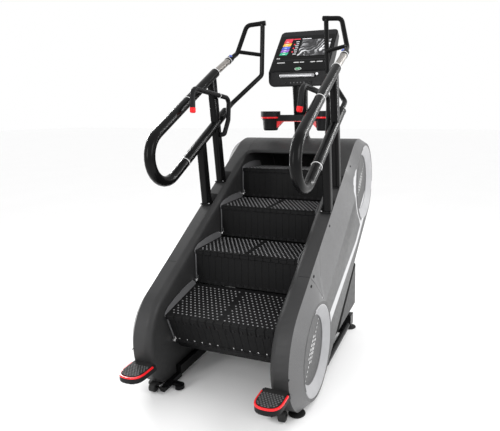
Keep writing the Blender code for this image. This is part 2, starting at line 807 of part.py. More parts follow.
def hood_front(low, high, wall):
    """The stretch of hood round the front opening, from one height to another, as an (x, along) outline."""
    start = LIP_ALONG - LIP_CORNER
    back = LIP_ALONG + LIP_ROUND + 0.014
    points = [(wall, start), (wall, back), (-wall, back), (-wall, start)]
    reach = LIP_CORNER + 0.0007
    for side, first in ((-1, 180), (1, 90)):
        for k in range(9):
            angle = math.radians(first - 90 * k / 8)
            x = side * (INNER_X - LIP_CORNER) + reach * math.cos(angle)
            points.append((x, start + reach * math.sin(angle)))
    kept = [point for point in points if abs(point[0]) <= wall]
    return loft([[(x, *on_belt(along, height)) for x, along in kept] for height in (low, high)])


def build_covers():
    """The curved sheets that close the belt between the shrouds."""
    half = INNER_X - 0.001
    up, low = SLOPE + math.pi / 2, SLOPE - math.pi / 2
    inside = HOOD_RADIUS - HOOD_SHEET
    joint = math.radians(62)
    outline = [on_belt(LIP_ALONG + 0.030, HOOD_RADIUS)] + arc(UPPER_HUB, HOOD_RADIUS, up, joint, 14)
    outline += arc(UPPER_HUB, inside, joint, up, 14) + [on_belt(LIP_ALONG + 0.030, inside)]
    front = hood_front(HOOD_RADIUS - LIP_ROUND - 0.001, HOOD_RADIUS, half - 0.0002)
    hood = combined(slab(outline, -half, half), [front], "UNION")
    finish("hood", combined(hood, [opening_edge(HOOD_RADIUS)], "DIFFERENCE"), "graphite")
    joint = math.radians(61.5)
    outline = arc(UPPER_HUB, HOOD_RADIUS, joint, low, 16)
    outline += [on_belt(0.980, -HOOD_RADIUS), on_belt(0.980, -inside)]
    outline += arc(UPPER_HUB, inside, low, joint, 16)
    finish("rear_cover", slab(outline, -half, half), "graphite")
    low_end, high_end = 0.200, 0.974
    outline = []
    for along, height in ((low_end, -0.306), (high_end, -0.306), (high_end, -0.300), (low_end, -0.300)):
        outline.append(on_belt(along, height))
    finish("belly_pan", slab(outline, -0.298, 0.298), "black_plastic")


def build_shafts():
    """Cross shafts with a sprocket near each end; the upper one also carries the driven wheel."""
    end = INNER_X - 0.001
    for name, hub in (("lower_shaft", LOWER_HUB), ("upper_shaft", UPPER_HUB)):
        discs = [(x - 0.005, x + 0.005, SPROCKET_DISC) for x in SPROCKETS]
        if hub == UPPER_HUB:
            discs.insert(1, DRIVEN_WHEEL)
        profile = [(0, -end), (SHAFT_RADIUS, -end)]
        for low, high, radius in discs:
            profile += [(SHAFT_RADIUS, low), (radius, low), (radius, high), (SHAFT_RADIUS, high)]
        profile += [(SHAFT_RADIUS, end), (0, end)]
        finish(name, lathe(profile, (0, *hub), (1, 0, 0), 24), "steel", (0, *hub))


def build_chains():
    """The straight upper runs of the two step chains."""
    low, high = 0.090, HUB_SPAN - 0.055
    outline = [on_belt(low, 0.073), on_belt(high, 0.073), on_belt(high, 0.086), on_belt(low, 0.086)]
    pair("step_chain", slab(outline, 0.286, 0.298), "steel")


def build_drive():
    """Motor and alternator housing under the flight, with its output pulley."""
    y, z = PULLEY_CENTRE
    outline = [(0.18, 0.405), (0.395, 0.515), (0.395, 0.640), (0.230, 0.640), (0.18, 0.56)]
    motor = drum((-0.14, y, z), (0.10, y, z), 0.060, 20)
    finish("drive_unit", combined(slab(outline, -0.16, 0.12), [motor], "UNION"), "black_paint")
    low, high, _ = DRIVEN_WHEEL
    pulley = drum((low, y, z), (high, y, z), 0.030, 20)
    hub = drum((0.1005, y, z), (low + 0.005, y, z), 0.010, 16)
    finish("drive_pulley", combined(pulley, [hub], "UNION"), "steel", ((low + high) / 2, y, z))


def build_mast():
    """A flat tapering post from the hood's crown to the console."""
    base_z = UPPER_HUB[1] + HOOD_RADIUS + 0.0007
    rings = []
    for z, y, half_x, half_y in (
        (base_z, 0.684, 0.066, 0.052),
        (base_z + 0.02, 0.682, 0.054, 0.036),
        (1.56, 0.654, 0.053, 0.033),
        (1.745, 0.640, 0.057, 0.034),
    ):
        ring = []
        for k in range(20):
            angle = 2 * math.pi * k / 20
            c, s = math.cos(angle), math.sin(angle)
            x = half_x * math.copysign(abs(c) ** 0.5, c)
            ring.append((x, y + half_y * math.copysign(abs(s) ** 0.6, s), z))
        rings.append(ring)
    hood_hole = arc(UPPER_HUB, HOOD_RADIUS + 0.0006, math.radians(70), math.radians(110), 12)
    tool = slab(hood_hole + [(UPPER_HUB[0], UPPER_HUB[1])], -0.2, 0.2)
    rings[0] = [(x, y, z - 0.012) for x, y, z in rings[0]]
    finish("console_mast", combined(loft(rings), [tool], "DIFFERENCE"), "black_paint")


def build_cup_tray():
    """A cross arm round the mast's front with a cup holder at each end."""
    y, arm_z = 0.568, 1.455
    arm = box((-0.150, y - 0.028, arm_z), (0.150, y + 0.022, arm_z + 0.045))
    shapes = []
    tools = []
    for side in (-1, 1):
        outside = [
            (0, 0),
            (0.048, 0),
            (0.055, 0.010),
            (0.060, 0.075),
            (0.068, 0.092),
            (0.074, 0.100),
            (0.074, 0.138),
            (0, 0.138),
        ]
        inside = [(0, 0.006), (0.042, 0.006), (0.047, 0.020), (0.052, 0.150), (0, 0.150)]
        shapes.append(lathe(outside, (side * 0.208, y, 1.385), (0, 0, 1), 24))
        tools.append(lathe(inside, (side * 0.208, y, 1.385), (0, 0, 1), 24))
    tray = combined(combined(arm, shapes, "UNION"), tools, "DIFFERENCE")
    finish("cup_tray", tray, "black_plastic")


def console_point(up, out):
    """(y, z) on the console: up runs along its face from the foot, out stands off the face to the user."""
    return (
        CONSOLE_FOOT[0] + up * math.cos(CONSOLE_TILT) - out * math.sin(CONSOLE_TILT),
        CONSOLE_FOOT[1] + up * math.sin(CONSOLE_TILT) + out * math.cos(CONSOLE_TILT),
    )


def rounded_rectangle(half_width, low, high, radius, steps=5):
    """(x, up) corners of a rounded rectangle."""
    points = []
    for cx, cy, start in (
        (half_width - radius, low + radius, -90),
        (half_width - radius, high - radius, 0),
        (-half_width + radius, high - radius, 90),
        (-half_width + radius, low + radius, 180),
    ):
        for k in range(steps + 1):
            angle = math.radians(start + 90 * k / steps)
            points.append((cx + radius * math.cos(angle), cy + radius * math.sin(angle)))
    return points


def face_slab(outline, low_out, high_out):
    """An (x, up) outline on the console's face, between two distances off it."""
    rings = []
    for out in (low_out, high_out):
        rings.append([(x, *console_point(up, out)) for x, up in outline])
    return loft(rings)


def build_console():
    profile = [
        (0.585, 1.712),
        (0.585, CONSOLE_FOOT[1]),
        console_point(CONSOLE_LENGTH, 0),
        console_point(CONSOLE_LENGTH, -0.045),
        console_point(0.26, -0.085),
        console_point(0.05, -0.085),
        (0.668, 1.7475),
        (0.60, 1.7475),
        (0.60, 1.704),
    ]
    shell = slab(profile, -CONSOLE_HALF_WIDTH, CONSOLE_HALF_WIDTH)
    seen_from_face = rounded_rectangle(CONSOLE_HALF_WIDTH + 0.0001, -0.30, CONSOLE_LENGTH + 0.0001, 0.032, 7)
    seen_from_front = rounded_rectangle(CONSOLE_HALF_WIDTH + 0.0001, 1.7039, 2.40, 0.046, 7)
    top_corners = face_slab(seen_from_face, -0.40, 0.40)
    foot_corners = loft([[(x, y, z) for x, z in seen_from_front] for y in (0.30, 1.20)])
    shell = combined(shell, [top_corners, foot_corners], "INTERSECT")
    finish("console_shell", shell, "black_plastic", bevel=0.010)
    bezel = rounded_rectangle(0.220, 0.004, 0.438, 0.026)
    finish("console_bezel", face_slab(bezel, 0.0005, 0.0045), "gloss_black")
    screen = rounded_rectangle(0.200, 0.150, 0.360, 0.004, 2)
    finish("console_screen", face_slab(screen, 0.0049, 0.0069), "screen")
    button = []
    for k in range(24):
        angle = 2 * math.pi * k / 24
        button.append((0.019 * math.cos(angle), 0.022 + 0.010 * math.sin(angle)))
    base = console_point(0.022, 0.0062)
    finish("start_button", face_slab(button, 0.0062, 0.0096), "green", (0, *base))
    front = 0.585
    keys = box((-0.108, front - 0.0070, 1.722), (0.108, front - 0.0020, 1.742))
    finish("key_panel", keys, "black_plastic", (0, front, 1.732))
    corners = []
    for x, reach in ((-0.125, 0.002), (-0.125, 0.024), (0.125, 0.024), (0.125, 0.002)):
        corners.append((x, front - reach, 1.780))
    shelf = tube(rounded_path(corners, 0.012), 0.014, 0.010, 12, (0, 0, 1))
    finish("reading_shelf", shelf, "silver")
    x, y, z = 0.150, front - 0.001, 1.789
    knob = lathe([(0, 0), (0.011, 0), (0.011, 0.010), (0.009, 0.012), (0, 0.012)], (x, y, z), (0, -1, 0), 20)
    finish("volume_knob", knob, "silver", (x, y, z))


clear_scene()
build_steps()
build_shrouds()
build_rear_panels()
build_base()
build_feet()
build_wheels()
build_platforms()
build_handrails()
build_grips()
build_covers()
build_shafts()
build_chains()
build_drive()
build_mast()
build_cup_tray()
build_console()
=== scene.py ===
"""A stair climber for a gym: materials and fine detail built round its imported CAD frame."""

import json
import math

import bpy
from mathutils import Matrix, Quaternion, Vector

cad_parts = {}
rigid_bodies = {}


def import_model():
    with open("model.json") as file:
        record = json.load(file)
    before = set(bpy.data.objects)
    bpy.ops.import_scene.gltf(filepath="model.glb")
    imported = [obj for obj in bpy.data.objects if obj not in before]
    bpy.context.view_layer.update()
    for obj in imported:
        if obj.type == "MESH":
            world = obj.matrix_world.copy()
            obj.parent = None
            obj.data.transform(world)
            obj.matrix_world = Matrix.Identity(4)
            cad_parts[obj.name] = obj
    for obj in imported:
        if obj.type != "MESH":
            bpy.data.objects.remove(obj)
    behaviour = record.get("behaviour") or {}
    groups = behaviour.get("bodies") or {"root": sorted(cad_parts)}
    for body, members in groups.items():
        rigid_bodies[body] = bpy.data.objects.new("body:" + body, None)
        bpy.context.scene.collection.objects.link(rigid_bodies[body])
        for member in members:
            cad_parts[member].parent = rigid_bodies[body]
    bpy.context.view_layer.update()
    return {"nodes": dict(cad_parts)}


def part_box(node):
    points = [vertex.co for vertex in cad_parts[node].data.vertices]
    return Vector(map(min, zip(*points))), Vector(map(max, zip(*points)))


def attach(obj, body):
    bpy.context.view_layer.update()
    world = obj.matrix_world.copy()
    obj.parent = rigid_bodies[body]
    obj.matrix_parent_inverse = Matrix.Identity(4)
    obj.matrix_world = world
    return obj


for leftover in list(bpy.data.objects):
    bpy.data.objects.remove(leftover, do_unlink=True)
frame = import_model()
NODES = frame["nodes"]
SIDES = (("right", 1), ("left", -1))
COVERS = ("lower_cover", "upper_cover")


def heading(angle):
    """The unit vector at an angle above +Y, in the plane of the object's side."""
    return Vector((0, math.cos(angle), math.sin(angle)))


def centre_of(node):
    low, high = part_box(node)
    return (low + high) / 2


RIGHT_ANGLE = math.radians(90)
SHARP_PIECE_EDGE = math.radians(35)
MERGE_DISTANCE = 1e-5

# The belt that both side shrouds follow, as (y, z) places and angles.
SLOPE = math.atan2(0.210, 0.335)
HUB_SPAN = 1.376
LOWER_HUB = centre_of("lower_shaft").yz
SHROUD_RADIUS = 0.314

# Handrails: the two straight runs leave the ends of the front bend.
RAIL_X = 0.414
RAIL_RADIUS = 0.0305
UPPER_RAIL_END = Vector((0.0, 0.111, 1.781))
SENSOR_END = Vector((0.0, 0.307, 1.879))
SENSOR_RING = 0.0226
GRIP_RUN = (Vector((0.350, 0.172, 1.615)), Vector((0.338, -0.305, 1.662)))
RAIL_SLOPE = math.radians(29)
BEND_CENTRE = (-0.4905, 1.280)
BEND_RADIUS = 0.145

# The console's face: the (y, z) place of its lower edge, and the angle above +Y that it rises at.
CONSOLE_FOOT = (0.585, 1.811)
CONSOLE_TILT = math.atan2(0.744, 0.669)

# The camera, to the front right of the object.
CAMERA_PLACE = (1.16313, -2.74566, 1.51530)
CAMERA_YAW = math.radians(20.5385)
CAMERA_PITCH = math.radians(8.7020)
CAMERA_ROLL = math.radians(-0.4220)
CAMERA_LENS = 34.093
CAMERA_SHIFT = (-0.07486, -0.06067)


# ---- materials


class Graph:
    """A material's node tree, written as expressions."""

    def __init__(self, name):
        self.material = bpy.data.materials.new(name)
        self.material.use_nodes = True
        self.tree = self.material.node_tree
        self.shader = self.tree.nodes["Principled BSDF"]
        self.object_point = self.node("TexCoord").outputs["Object"]

    def node(self, kind):
        return self.tree.nodes.new("ShaderNode" + kind)

    def link(self, value, socket):
        if isinstance(value, bpy.types.NodeSocket):
            self.tree.links.new(value, socket)
        else:
            socket.default_value = value

    def math(self, operation, first, second=0.0):
        node = self.node("Math")
        node.operation = operation
        self.link(first, node.inputs[0])
        self.link(second, node.inputs[1])
        return node.outputs[0]

    def under(self, value, limit):
        return self.math("LESS_THAN", value, limit)

    def over(self, value, limit):
        return self.math("GREATER_THAN", value, limit)

    def less(self, value, amount):
        return self.math("SUBTRACT", value, amount)

    def product(self, *values):
        """The values multiplied together: of masks, it is 1 where all of them are."""
        result = values[0]
        for value in values[1:]:
            result = self.math("MULTIPLY", result, value)
        return result

    def axes(self, point=None):
        """The x, y and z of a vector: the place on the object, unless another is given."""
        node = self.node("SeparateXYZ")
        self.link(point or self.object_point, node.inputs[0])
        return node.outputs

    def stretched(self, scale):
        node = self.node("VectorMath")
        node.operation = "MULTIPLY"
        self.link(self.object_point, node.inputs[0])
        node.inputs[1].default_value = scale
        return node.outputs[0]

    def noise(self, scale, detail=3.0, point=None):
        node = self.node("TexNoise")
        self.link(point or self.object_point, node.inputs["Vector"])
        node.inputs["Scale"].default_value = scale
        node.inputs["Detail"].default_value = detail
        return node.outputs["Fac"]

    def remap(self, value, low, high, to_low, to_high):
        node = self.node("MapRange")
        self.link(value, node.inputs["Value"])
        for name, number in zip(("From Min", "From Max", "To Min", "To Max"), (low, high, to_low, to_high)):
            node.inputs[name].default_value = number
        return node.outputs["Result"]

    def varied(self, scale, detail, low=0.0, high=1.0):
        """Broad noise spread over a range."""
        return self.remap(self.noise(scale, detail), 0.3, 0.7, low, high)

    def clouded(self, colour, scale, detail, darkest, palest):
        """A colour that drifts between a darker and a paler shade of itself."""
        return self.mix(self.varied(scale, detail), scaled(colour, darkest), scaled(colour, palest))

    def mix(self, factor, first, second):
        node = self.node("Mix")
        node.data_type = "RGBA"
        self.link(factor, node.inputs["Factor"])
        for value, socket in ((first, node.inputs[6]), (second, node.inputs[7])):
            self.link((*value, 1.0) if isinstance(value, tuple) else value, socket)
        return node.outputs[2]

    def edges(self, start=0.52, end=0.60):
        """1 on the sharpest edges, where a finish wears."""
        node = self.node("NewGeometry")
        return self.remap(node.outputs["Pointiness"], start, end, 0.0, 1.0)

    def bump(self, height, strength, distance):
        node = self.node("Bump")
        node.inputs["Strength"].default_value = strength
        node.inputs["Distance"].default_value = distance
        self.link(height, node.inputs["Height"])
        self.link(node.outputs["Normal"], self.shader.inputs["Normal"])

    def finish(self, colour, roughness, metallic=0.0, coat=0.0, specular=0.22):
        self.link(colour, self.shader.inputs["Base Color"])
        self.link(roughness, self.shader.inputs["Roughness"])
        self.shader.inputs["Metallic"].default_value = metallic
        self.shader.inputs["Coat Weight"].default_value = coat
        self.shader.inputs["Coat Roughness"].default_value = 0.15
        self.shader.inputs["Specular IOR Level"].default_value = specular
        self.shader.inputs["Coat IOR"].default_value = 1.4
        return self.material


def scaled(colour, factor):
    return tuple(min(1.0, channel * factor) for channel in colour)


def moulded(name, colour, roughness, grain=900.0, depth=0.0004, strength=0.25, wear=1.6, **finish):
    """Textured moulding: clouded colour, paler worn edges and a fine leathery grain."""
    graph = Graph(name)
    body = graph.clouded(colour, 7.0, 5.0, 0.86, 1.12)
    body = graph.mix(graph.product(graph.edges(), 0.5), body, scaled(colour, wear))
    speckle = graph.noise(grain, 2.0)
    body = graph.mix(graph.remap(speckle, 0.4, 0.7, 0.0, 0.22), body, scaled(colour, 1.7))
    gloss = graph.varied(45.0, 4.0, roughness * 0.88, min(1.0, roughness * 1.12))
    graph.bump(speckle, strength, depth)
    return graph.finish(body, gloss, **finish)


def painted(name, colour, roughness, coat=0.25, **finish):
    """Powder coat: an even colour over a faint orange-peel surface."""
    graph = Graph(name)
    body = graph.clouded(colour, 5.0, 4.0, 0.88, 1.14)
    body = graph.mix(graph.product(graph.edges(0.53, 0.62), 0.35), body, scaled(colour, 2.2))
    peel = graph.noise(240.0, 2.0)
    gloss = graph.varied(30.0, 4.0, roughness * 0.85, roughness * 1.15)
    graph.bump(peel, 0.05, 0.0003)
    return graph.finish(body, gloss, coat=coat, **finish)


def brushed(name, colour, roughness, stretch=(6.0, 300.0, 300.0), metallic=1.0):
    """Brushed metal with fine scratches across it."""
    graph = Graph(name)
    scratches = graph.noise(1.0, 4.0, graph.stretched(stretch))
    body = graph.mix(graph.remap(scratches, 0.35, 0.65, 0.0, 1.0), scaled(colour, 0.75), scaled(colour, 1.15))
    gloss = graph.remap(scratches, 0.3, 0.7, roughness * 0.8, min(1.0, roughness * 1.3))
    graph.bump(scratches, 0.2, 0.0002)
    return graph.finish(body, gloss, metallic=metallic)


# ---- shapes


def outward(vertices, faces):
    """The same closed shape with its faces turned out."""
    volume = 0.0
    for face in faces:
        first = Vector(vertices[face[0]])
        for second, third in zip(face[1:], face[2:]):
            volume += first.dot(Vector(vertices[second]).cross(Vector(vertices[third])))
    if volume < 0:
        faces = [tuple(reversed(face)) for face in faces]
    return vertices, faces


def loft(rings, closed=False):
    """Skins matching rings of points, with flat caps unless the rings close on themselves."""
    count = len(rings[0])
    vertices = [tuple(point) for ring in rings for point in ring]
    faces = []
    for k in range(len(rings) if closed else len(rings) - 1):
        here, there = k * count, (k + 1) % len(rings) * count
        for i in range(count):
            j = (i + 1) % count
            faces.append((here + i, here + j, there + j, there + i))
    if not closed:
        faces.append(tuple(reversed(range(count))))
        faces.append(tuple(range(len(vertices) - count, len(vertices))))
    return outward(vertices, faces)


def revolved(profile, origin, axis, sides=24, closed=False, stretch=(1.0, 1.0), across=None):
    """Turns (radius, height) points round an axis; stretch makes the section oval."""
    axis = Vector(axis).normalized()
    across = (Vector(across) if across else axis.orthogonal()).normalized()
    other = axis.cross(across)
    rings = []
    for radius, height in profile:
        ring = []
        for k in range(sides):
            angle = 2 * math.pi * k / sides
            offset = across * math.cos(angle) * stretch[0] + other * math.sin(angle) * stretch[1]
            ring.append(Vector(origin) + axis * height + offset * radius)
        rings.append(ring)
    return loft(rings, closed)


def washer(origin, axis, inner, outer, low, high, sides=32):
    """A flat ring with slightly rounded outer edges."""
    ease = min(0.3 * (high - low), 0.5 * (outer - inner))
    profile = [(inner, low), (outer - ease, low), (outer, low + ease), (outer, high - ease)]
    profile += [(outer - ease, high), (inner, high)]
    return revolved(profile, origin, axis, sides, closed=True)


CORNERS = ((-1, -1), (1, -1), (1, 1), (-1, 1))


class Place:
    """A flat place on the object: x runs across, a along it and h off it."""

    def __init__(self, origin, along, normal, length=0.0):
        self.origin = Vector(origin)
        self.along = Vector(along)
        self.normal = Vector(normal)
        self.length = length

    def at(self, x, a, h):
        return self.origin + Vector((x, 0, 0)) + self.along * a + self.normal * h

    def plate(self, outline, low, high):
        """An (x, a) outline between two heights off the place."""
        return loft([[self.at(x, a, h) for x, a in outline] for h in (low, high)])

    def block(self, x, a, half_x, half_a, low, high, ease=0.0015):
        """A block with its upper edges eased."""
        rings = []
        for h, inset in ((low, 0.0), (high - ease, 0.0), (high, ease)):
            wide, deep = half_x - inset, half_a - inset
            rings.append([self.at(x + u * wide, a + v * deep, h) for u, v in CORNERS])
        return loft(rings)

    def sheet(self, outline, low_x, high_x):
        """An (a, h) outline between two places across."""
        return loft([[self.at(x, a, h) for a, h in outline] for x in (low_x, high_x)])


def rounded(half_x, low, high, radius):
    """(x, a) corners of a rounded rectangle."""
    steps = 4
    points = []
    corners = (
        (half_x - radius, low + radius, -90),
        (half_x - radius, high - radius, 0),
        (-half_x + radius, high - radius, 90),
        (-half_x + radius, low + radius, 180),
    )
    for x, a, start in corners:
        for k in range(steps + 1):
            angle = math.radians(start + 90 * k / steps)
            points.append((x + radius * math.cos(angle), a + radius * math.sin(angle)))
    return points


def add(name, data):
    """A new object in the scene."""
    thing = bpy.data.objects.new(name, data)
    bpy.context.collection.objects.link(thing)
    return thing


def build(name, shapes, finish, body="frame"):
    """Makes one object of several closed shapes, with a finish from FINISHES, and lets it ride on a body."""
    vertices, faces = [], []
    for shape_vertices, shape_faces in shapes:
        start = len(vertices)
        vertices += shape_vertices
        faces += [tuple(index + start for index in face) for face in shape_faces]
    mesh = bpy.data.meshes.new(name)
    mesh.from_pydata(vertices, [], faces)
    mesh.materials.append(FINISHES[finish])
    mesh.shade_smooth()
    mesh.set_sharp_from_angle(angle=SHARP_PIECE_EDGE)
    piece = add(name, mesh)
    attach(piece, body)


def on_belt(along, height):
    """The (y, z) place this far along the belt from the lower hub and above its middle line."""
    return LOWER_HUB + (heading(SLOPE) * along + heading(SLOPE + RIGHT_ANGLE) * height).yz


UPPER_HUB = on_belt(HUB_SPAN, 0)


def flat_of(node, facing):
    """The Place of a node's broadest face towards a direction: its origin is the middle of the near edge."""
    mesh = NODES[node].data
    facing = Vector(facing)
    mesh.calc_loop_triangles()
    areas = {}
    for triangle in mesh.loop_triangles:
        if abs(triangle.normal.x) < 0.05 and triangle.normal.dot(facing) > 0.6:
            key = tuple(round(value, 2) for value in triangle.normal)
            areas.setdefault(key, []).append(triangle)
    broadest = max(areas.values(), key=lambda group: sum(triangle.area for triangle in group))
    normal = broadest[0].normal.copy()
    along = Vector((1, 0, 0)).cross(normal).normalized()
    if along.y + along.z < 0:
        along.negate()
    corners = [mesh.vertices[index].co for triangle in broadest for index in triangle.vertices]
    low = min(corners, key=lambda corner: corner.dot(along)).copy()
    high = max(corners, key=lambda corner: corner.dot(along))
    low.x = 0
    return Place(low, along, normal, (high - low).dot(along))


# ---- finishes

JOINT_AND_SHADE_BLACK = (0.006, 0.006, 0.0065)
BLACK = (0.0038, 0.0038, 0.0040)
STEP_BLACK = (0.0055, 0.0055, 0.0057)
GRAPHITE = (0.028, 0.028, 0.0285)
PANEL_GREY = (0.118, 0.118, 0.120)
DISC_GREY = (0.050, 0.050, 0.051)
PALE_GREY = (0.46, 0.46, 0.47)
RING_SILVER = (0.36, 0.36, 0.37)
RED = (0.80, 0.012, 0.016)
WHITE = (0.85, 0.85, 0.85)

# The pale stripe lies between two straight edges, given by their heights above the belt's middle line at the
# ends of STRIPE_RUN, which is measured along the belt from the lower hub. A dark strip lies below it.
STRIPE_RUN = (0.2551, 0.960)
STRIPE_TOP = (-0.0256, -0.1735)
LOWEST_STRIPE_TOP = -0.1700
STRIPE_BOTTOM = (-0.0956, -0.2150)
DARK_STRIP_END = 1.0

# The stripe ends in a hook round the upper ring: its outer edge as angles in degrees and radii about the hub.
HOOK_OUTER = ((-59, 0.291), (-50, 0.300), (-42, 0.316), (-23, 0.310), (-3, 0.304), (23, 0.297), (34, 0.325))
HOOK_INNER = 0.288
HOOK_ANGLES = (-57, 34)
HOOK_SCALE = (-60, 40)

# The dishes round the hubs lie further in than this, and within this radius.
DISH_X = 0.4592
DISH_RADIUS = 0.210


def stripe_masks(graph):
    """Masks of the pale stripe, with its hook round the upper ring, and of the dark strip below it."""
    _, y, z = graph.axes()
    y = graph.less(y, LOWER_HUB[0])
    z = graph.less(z, LOWER_HUB[1])
    cosine, sine = math.cos(SLOPE), math.sin(SLOPE)
    along = graph.math("ADD", graph.product(y, cosine), graph.product(z, sine))
    height = graph.less(graph.product(z, cosine), graph.product(y, sine))
    top = graph.math("MAXIMUM", graph.remap(along, *STRIPE_RUN, *STRIPE_TOP), LOWEST_STRIPE_TOP)
    bottom = graph.remap(along, *STRIPE_RUN, *STRIPE_BOTTOM)
    band = graph.product(graph.under(height, top), graph.over(height, bottom))
    below = graph.product(graph.under(height, bottom), graph.under(along, DARK_STRIP_END))
    return graph.math("MAXIMUM", band, hook_mask(graph, along, height)), below


def hook_mask(graph, along, height):
    """1 between the upper ring and the hook's outer edge, which a colour ramp reads off by angle."""
    beyond = graph.less(along, HUB_SPAN)
    turn = graph.math("ARCTAN2", graph.product(height, -1), graph.product(beyond, -1))
    spread = graph.math("ADD", graph.product(beyond, beyond), graph.product(height, height))
    spread = graph.math("SQRT", spread)
    ramp = graph.node("ValToRGB")
    stops = ramp.color_ramp.elements
    while len(stops) < len(HOOK_OUTER):
        stops.new(0.5)
    first, last = HOOK_SCALE
    for stop, (angle, reach) in zip(stops, HOOK_OUTER):
        stop.position = (angle - first) / (last - first)
        stop.color = (reach, reach, reach, 1.0)
    share = graph.remap(turn, math.radians(first), math.radians(last), 0.0, 1.0)
    graph.link(share, ramp.inputs["Fac"])
    return graph.product(
        graph.under(spread, ramp.outputs["Color"]),
        graph.over(spread, HOOK_INNER),
        graph.over(turn, math.radians(HOOK_ANGLES[0])),
        graph.under(turn, math.radians(HOOK_ANGLES[1])),
    )


def cover_finish(name, striped):
    """Satin moulded panel: painted shade on its flat side, darker in the dishes, with the stripe where there
    is one.
    """
    graph = Graph(name)
    body = graph.clouded(PANEL_GREY, 4.0, 5.0, 0.92, 1.08)
    in_dish = graph.under(graph.math("ABSOLUTE", graph.axes()[0]), DISH_X)
    in_dish = graph.product(in_dish, near_hubs(graph, DISH_RADIUS))
    # Painted shade: faces turned straight out along x are darkened, standing for the lesser light that falls
    # on the flat side.
    facing = graph.axes(graph.node("NewGeometry").outputs["True Normal"])
    flat = graph.over(graph.math("ABSOLUTE", facing[0]), 0.985)
    body = graph.mix(flat, body, scaled(PANEL_GREY, 0.42))
    body = graph.mix(in_dish, body, DISC_GREY)
    if striped:
        pale, below = stripe_masks(graph)
        body = graph.mix(pale, body, scaled(PALE_GREY, 1.12))
        body = graph.mix(below, body, scaled(GRAPHITE, 1.3))
    grain = graph.noise(1100.0, 2.0)
    body = graph.mix(graph.remap(grain, 0.4, 0.7, 0.0, 0.10), body, WHITE)
    graph.bump(grain, 0.15, 0.0003)
    return graph.finish(body, graph.varied(35.0, 4.0, 0.40, 0.50), coat=0.12)


def ring_finish(name, hub, start, end):
    """Satin silver between two angles (degrees) round the hub; the rest is painted shade, dark like the dish.
    """
    graph = Graph(name)
    _, y, z = graph.axes()
    angle = graph.math("ARCTAN2", graph.less(z, hub[1]), graph.less(y, hub[0]))
    # Painted shade: outside this sector the ring takes the dish's dark grey, standing for the shade that
    # falls on its front part.
    inside = graph.product(
        graph.over(angle, math.radians(start)),
        graph.under(angle, math.radians(end)),
    )
    silver = graph.clouded(RING_SILVER, 9.0, 4.0, 0.92, 1.08)
    graph.bump(graph.noise(900.0, 2.0), 0.08, 0.0002)
    return graph.finish(graph.mix(inside, DISC_GREY, silver), graph.varied(30.0, 4.0, 0.30, 0.40), coat=0.2)


def near_hubs(graph, radius):
    """1 within a radius of either hub's axis."""
    _, y, z = graph.axes()
    found = 0.0
    for hub in (LOWER_HUB, UPPER_HUB):
        across = graph.less(y, hub[0])
        above = graph.less(z, hub[1])
        square = graph.math("ADD", graph.product(across, across), graph.product(above, above))
        found = graph.math("MAXIMUM", graph.under(square, radius**2), found)
    return found


def glowing(graph, body, strength):
    """Makes a body colour shine as well, behind glass."""
    graph.link(body, graph.shader.inputs["Emission Color"])
    graph.shader.inputs["Emission Strength"].default_value = strength
    return graph.finish(body, 0.12, coat=0.6)


def lit(name, colour, strength):
    """A glowing patch of display, with a fine pixel grain; on printed white marks the glow is painted light.
    """
    graph = Graph(name)
    return glowing(graph, graph.mix(graph.varied(1500.0, 1.0, 0.85, 1.0), (0.0, 0.0, 0.0), colour), strength)


def picture(name):
    """The display's black and white picture: drifting bands like a mountain track."""
    graph = Graph(name)
    warp = graph.noise(9.0, 6.0)
    x, _, z = graph.axes()
    lean = graph.math("ADD", graph.product(x, 40.0), graph.product(z, -55.0))
    lean = graph.math("ADD", lean, graph.product(warp, 16.0))
    bands = graph.remap(graph.math("SINE", graph.product(lean, 2.4)), -0.1, 0.8, 0.0, 1.0)
    tone = graph.product(bands, graph.remap(warp, 0.35, 0.65, 0.15, 1.0))
    body = graph.mix(graph.product(tone, tone), (0.01, 0.01, 0.012), (0.75, 0.76, 0.78))
    return glowing(graph, body, 0.45)


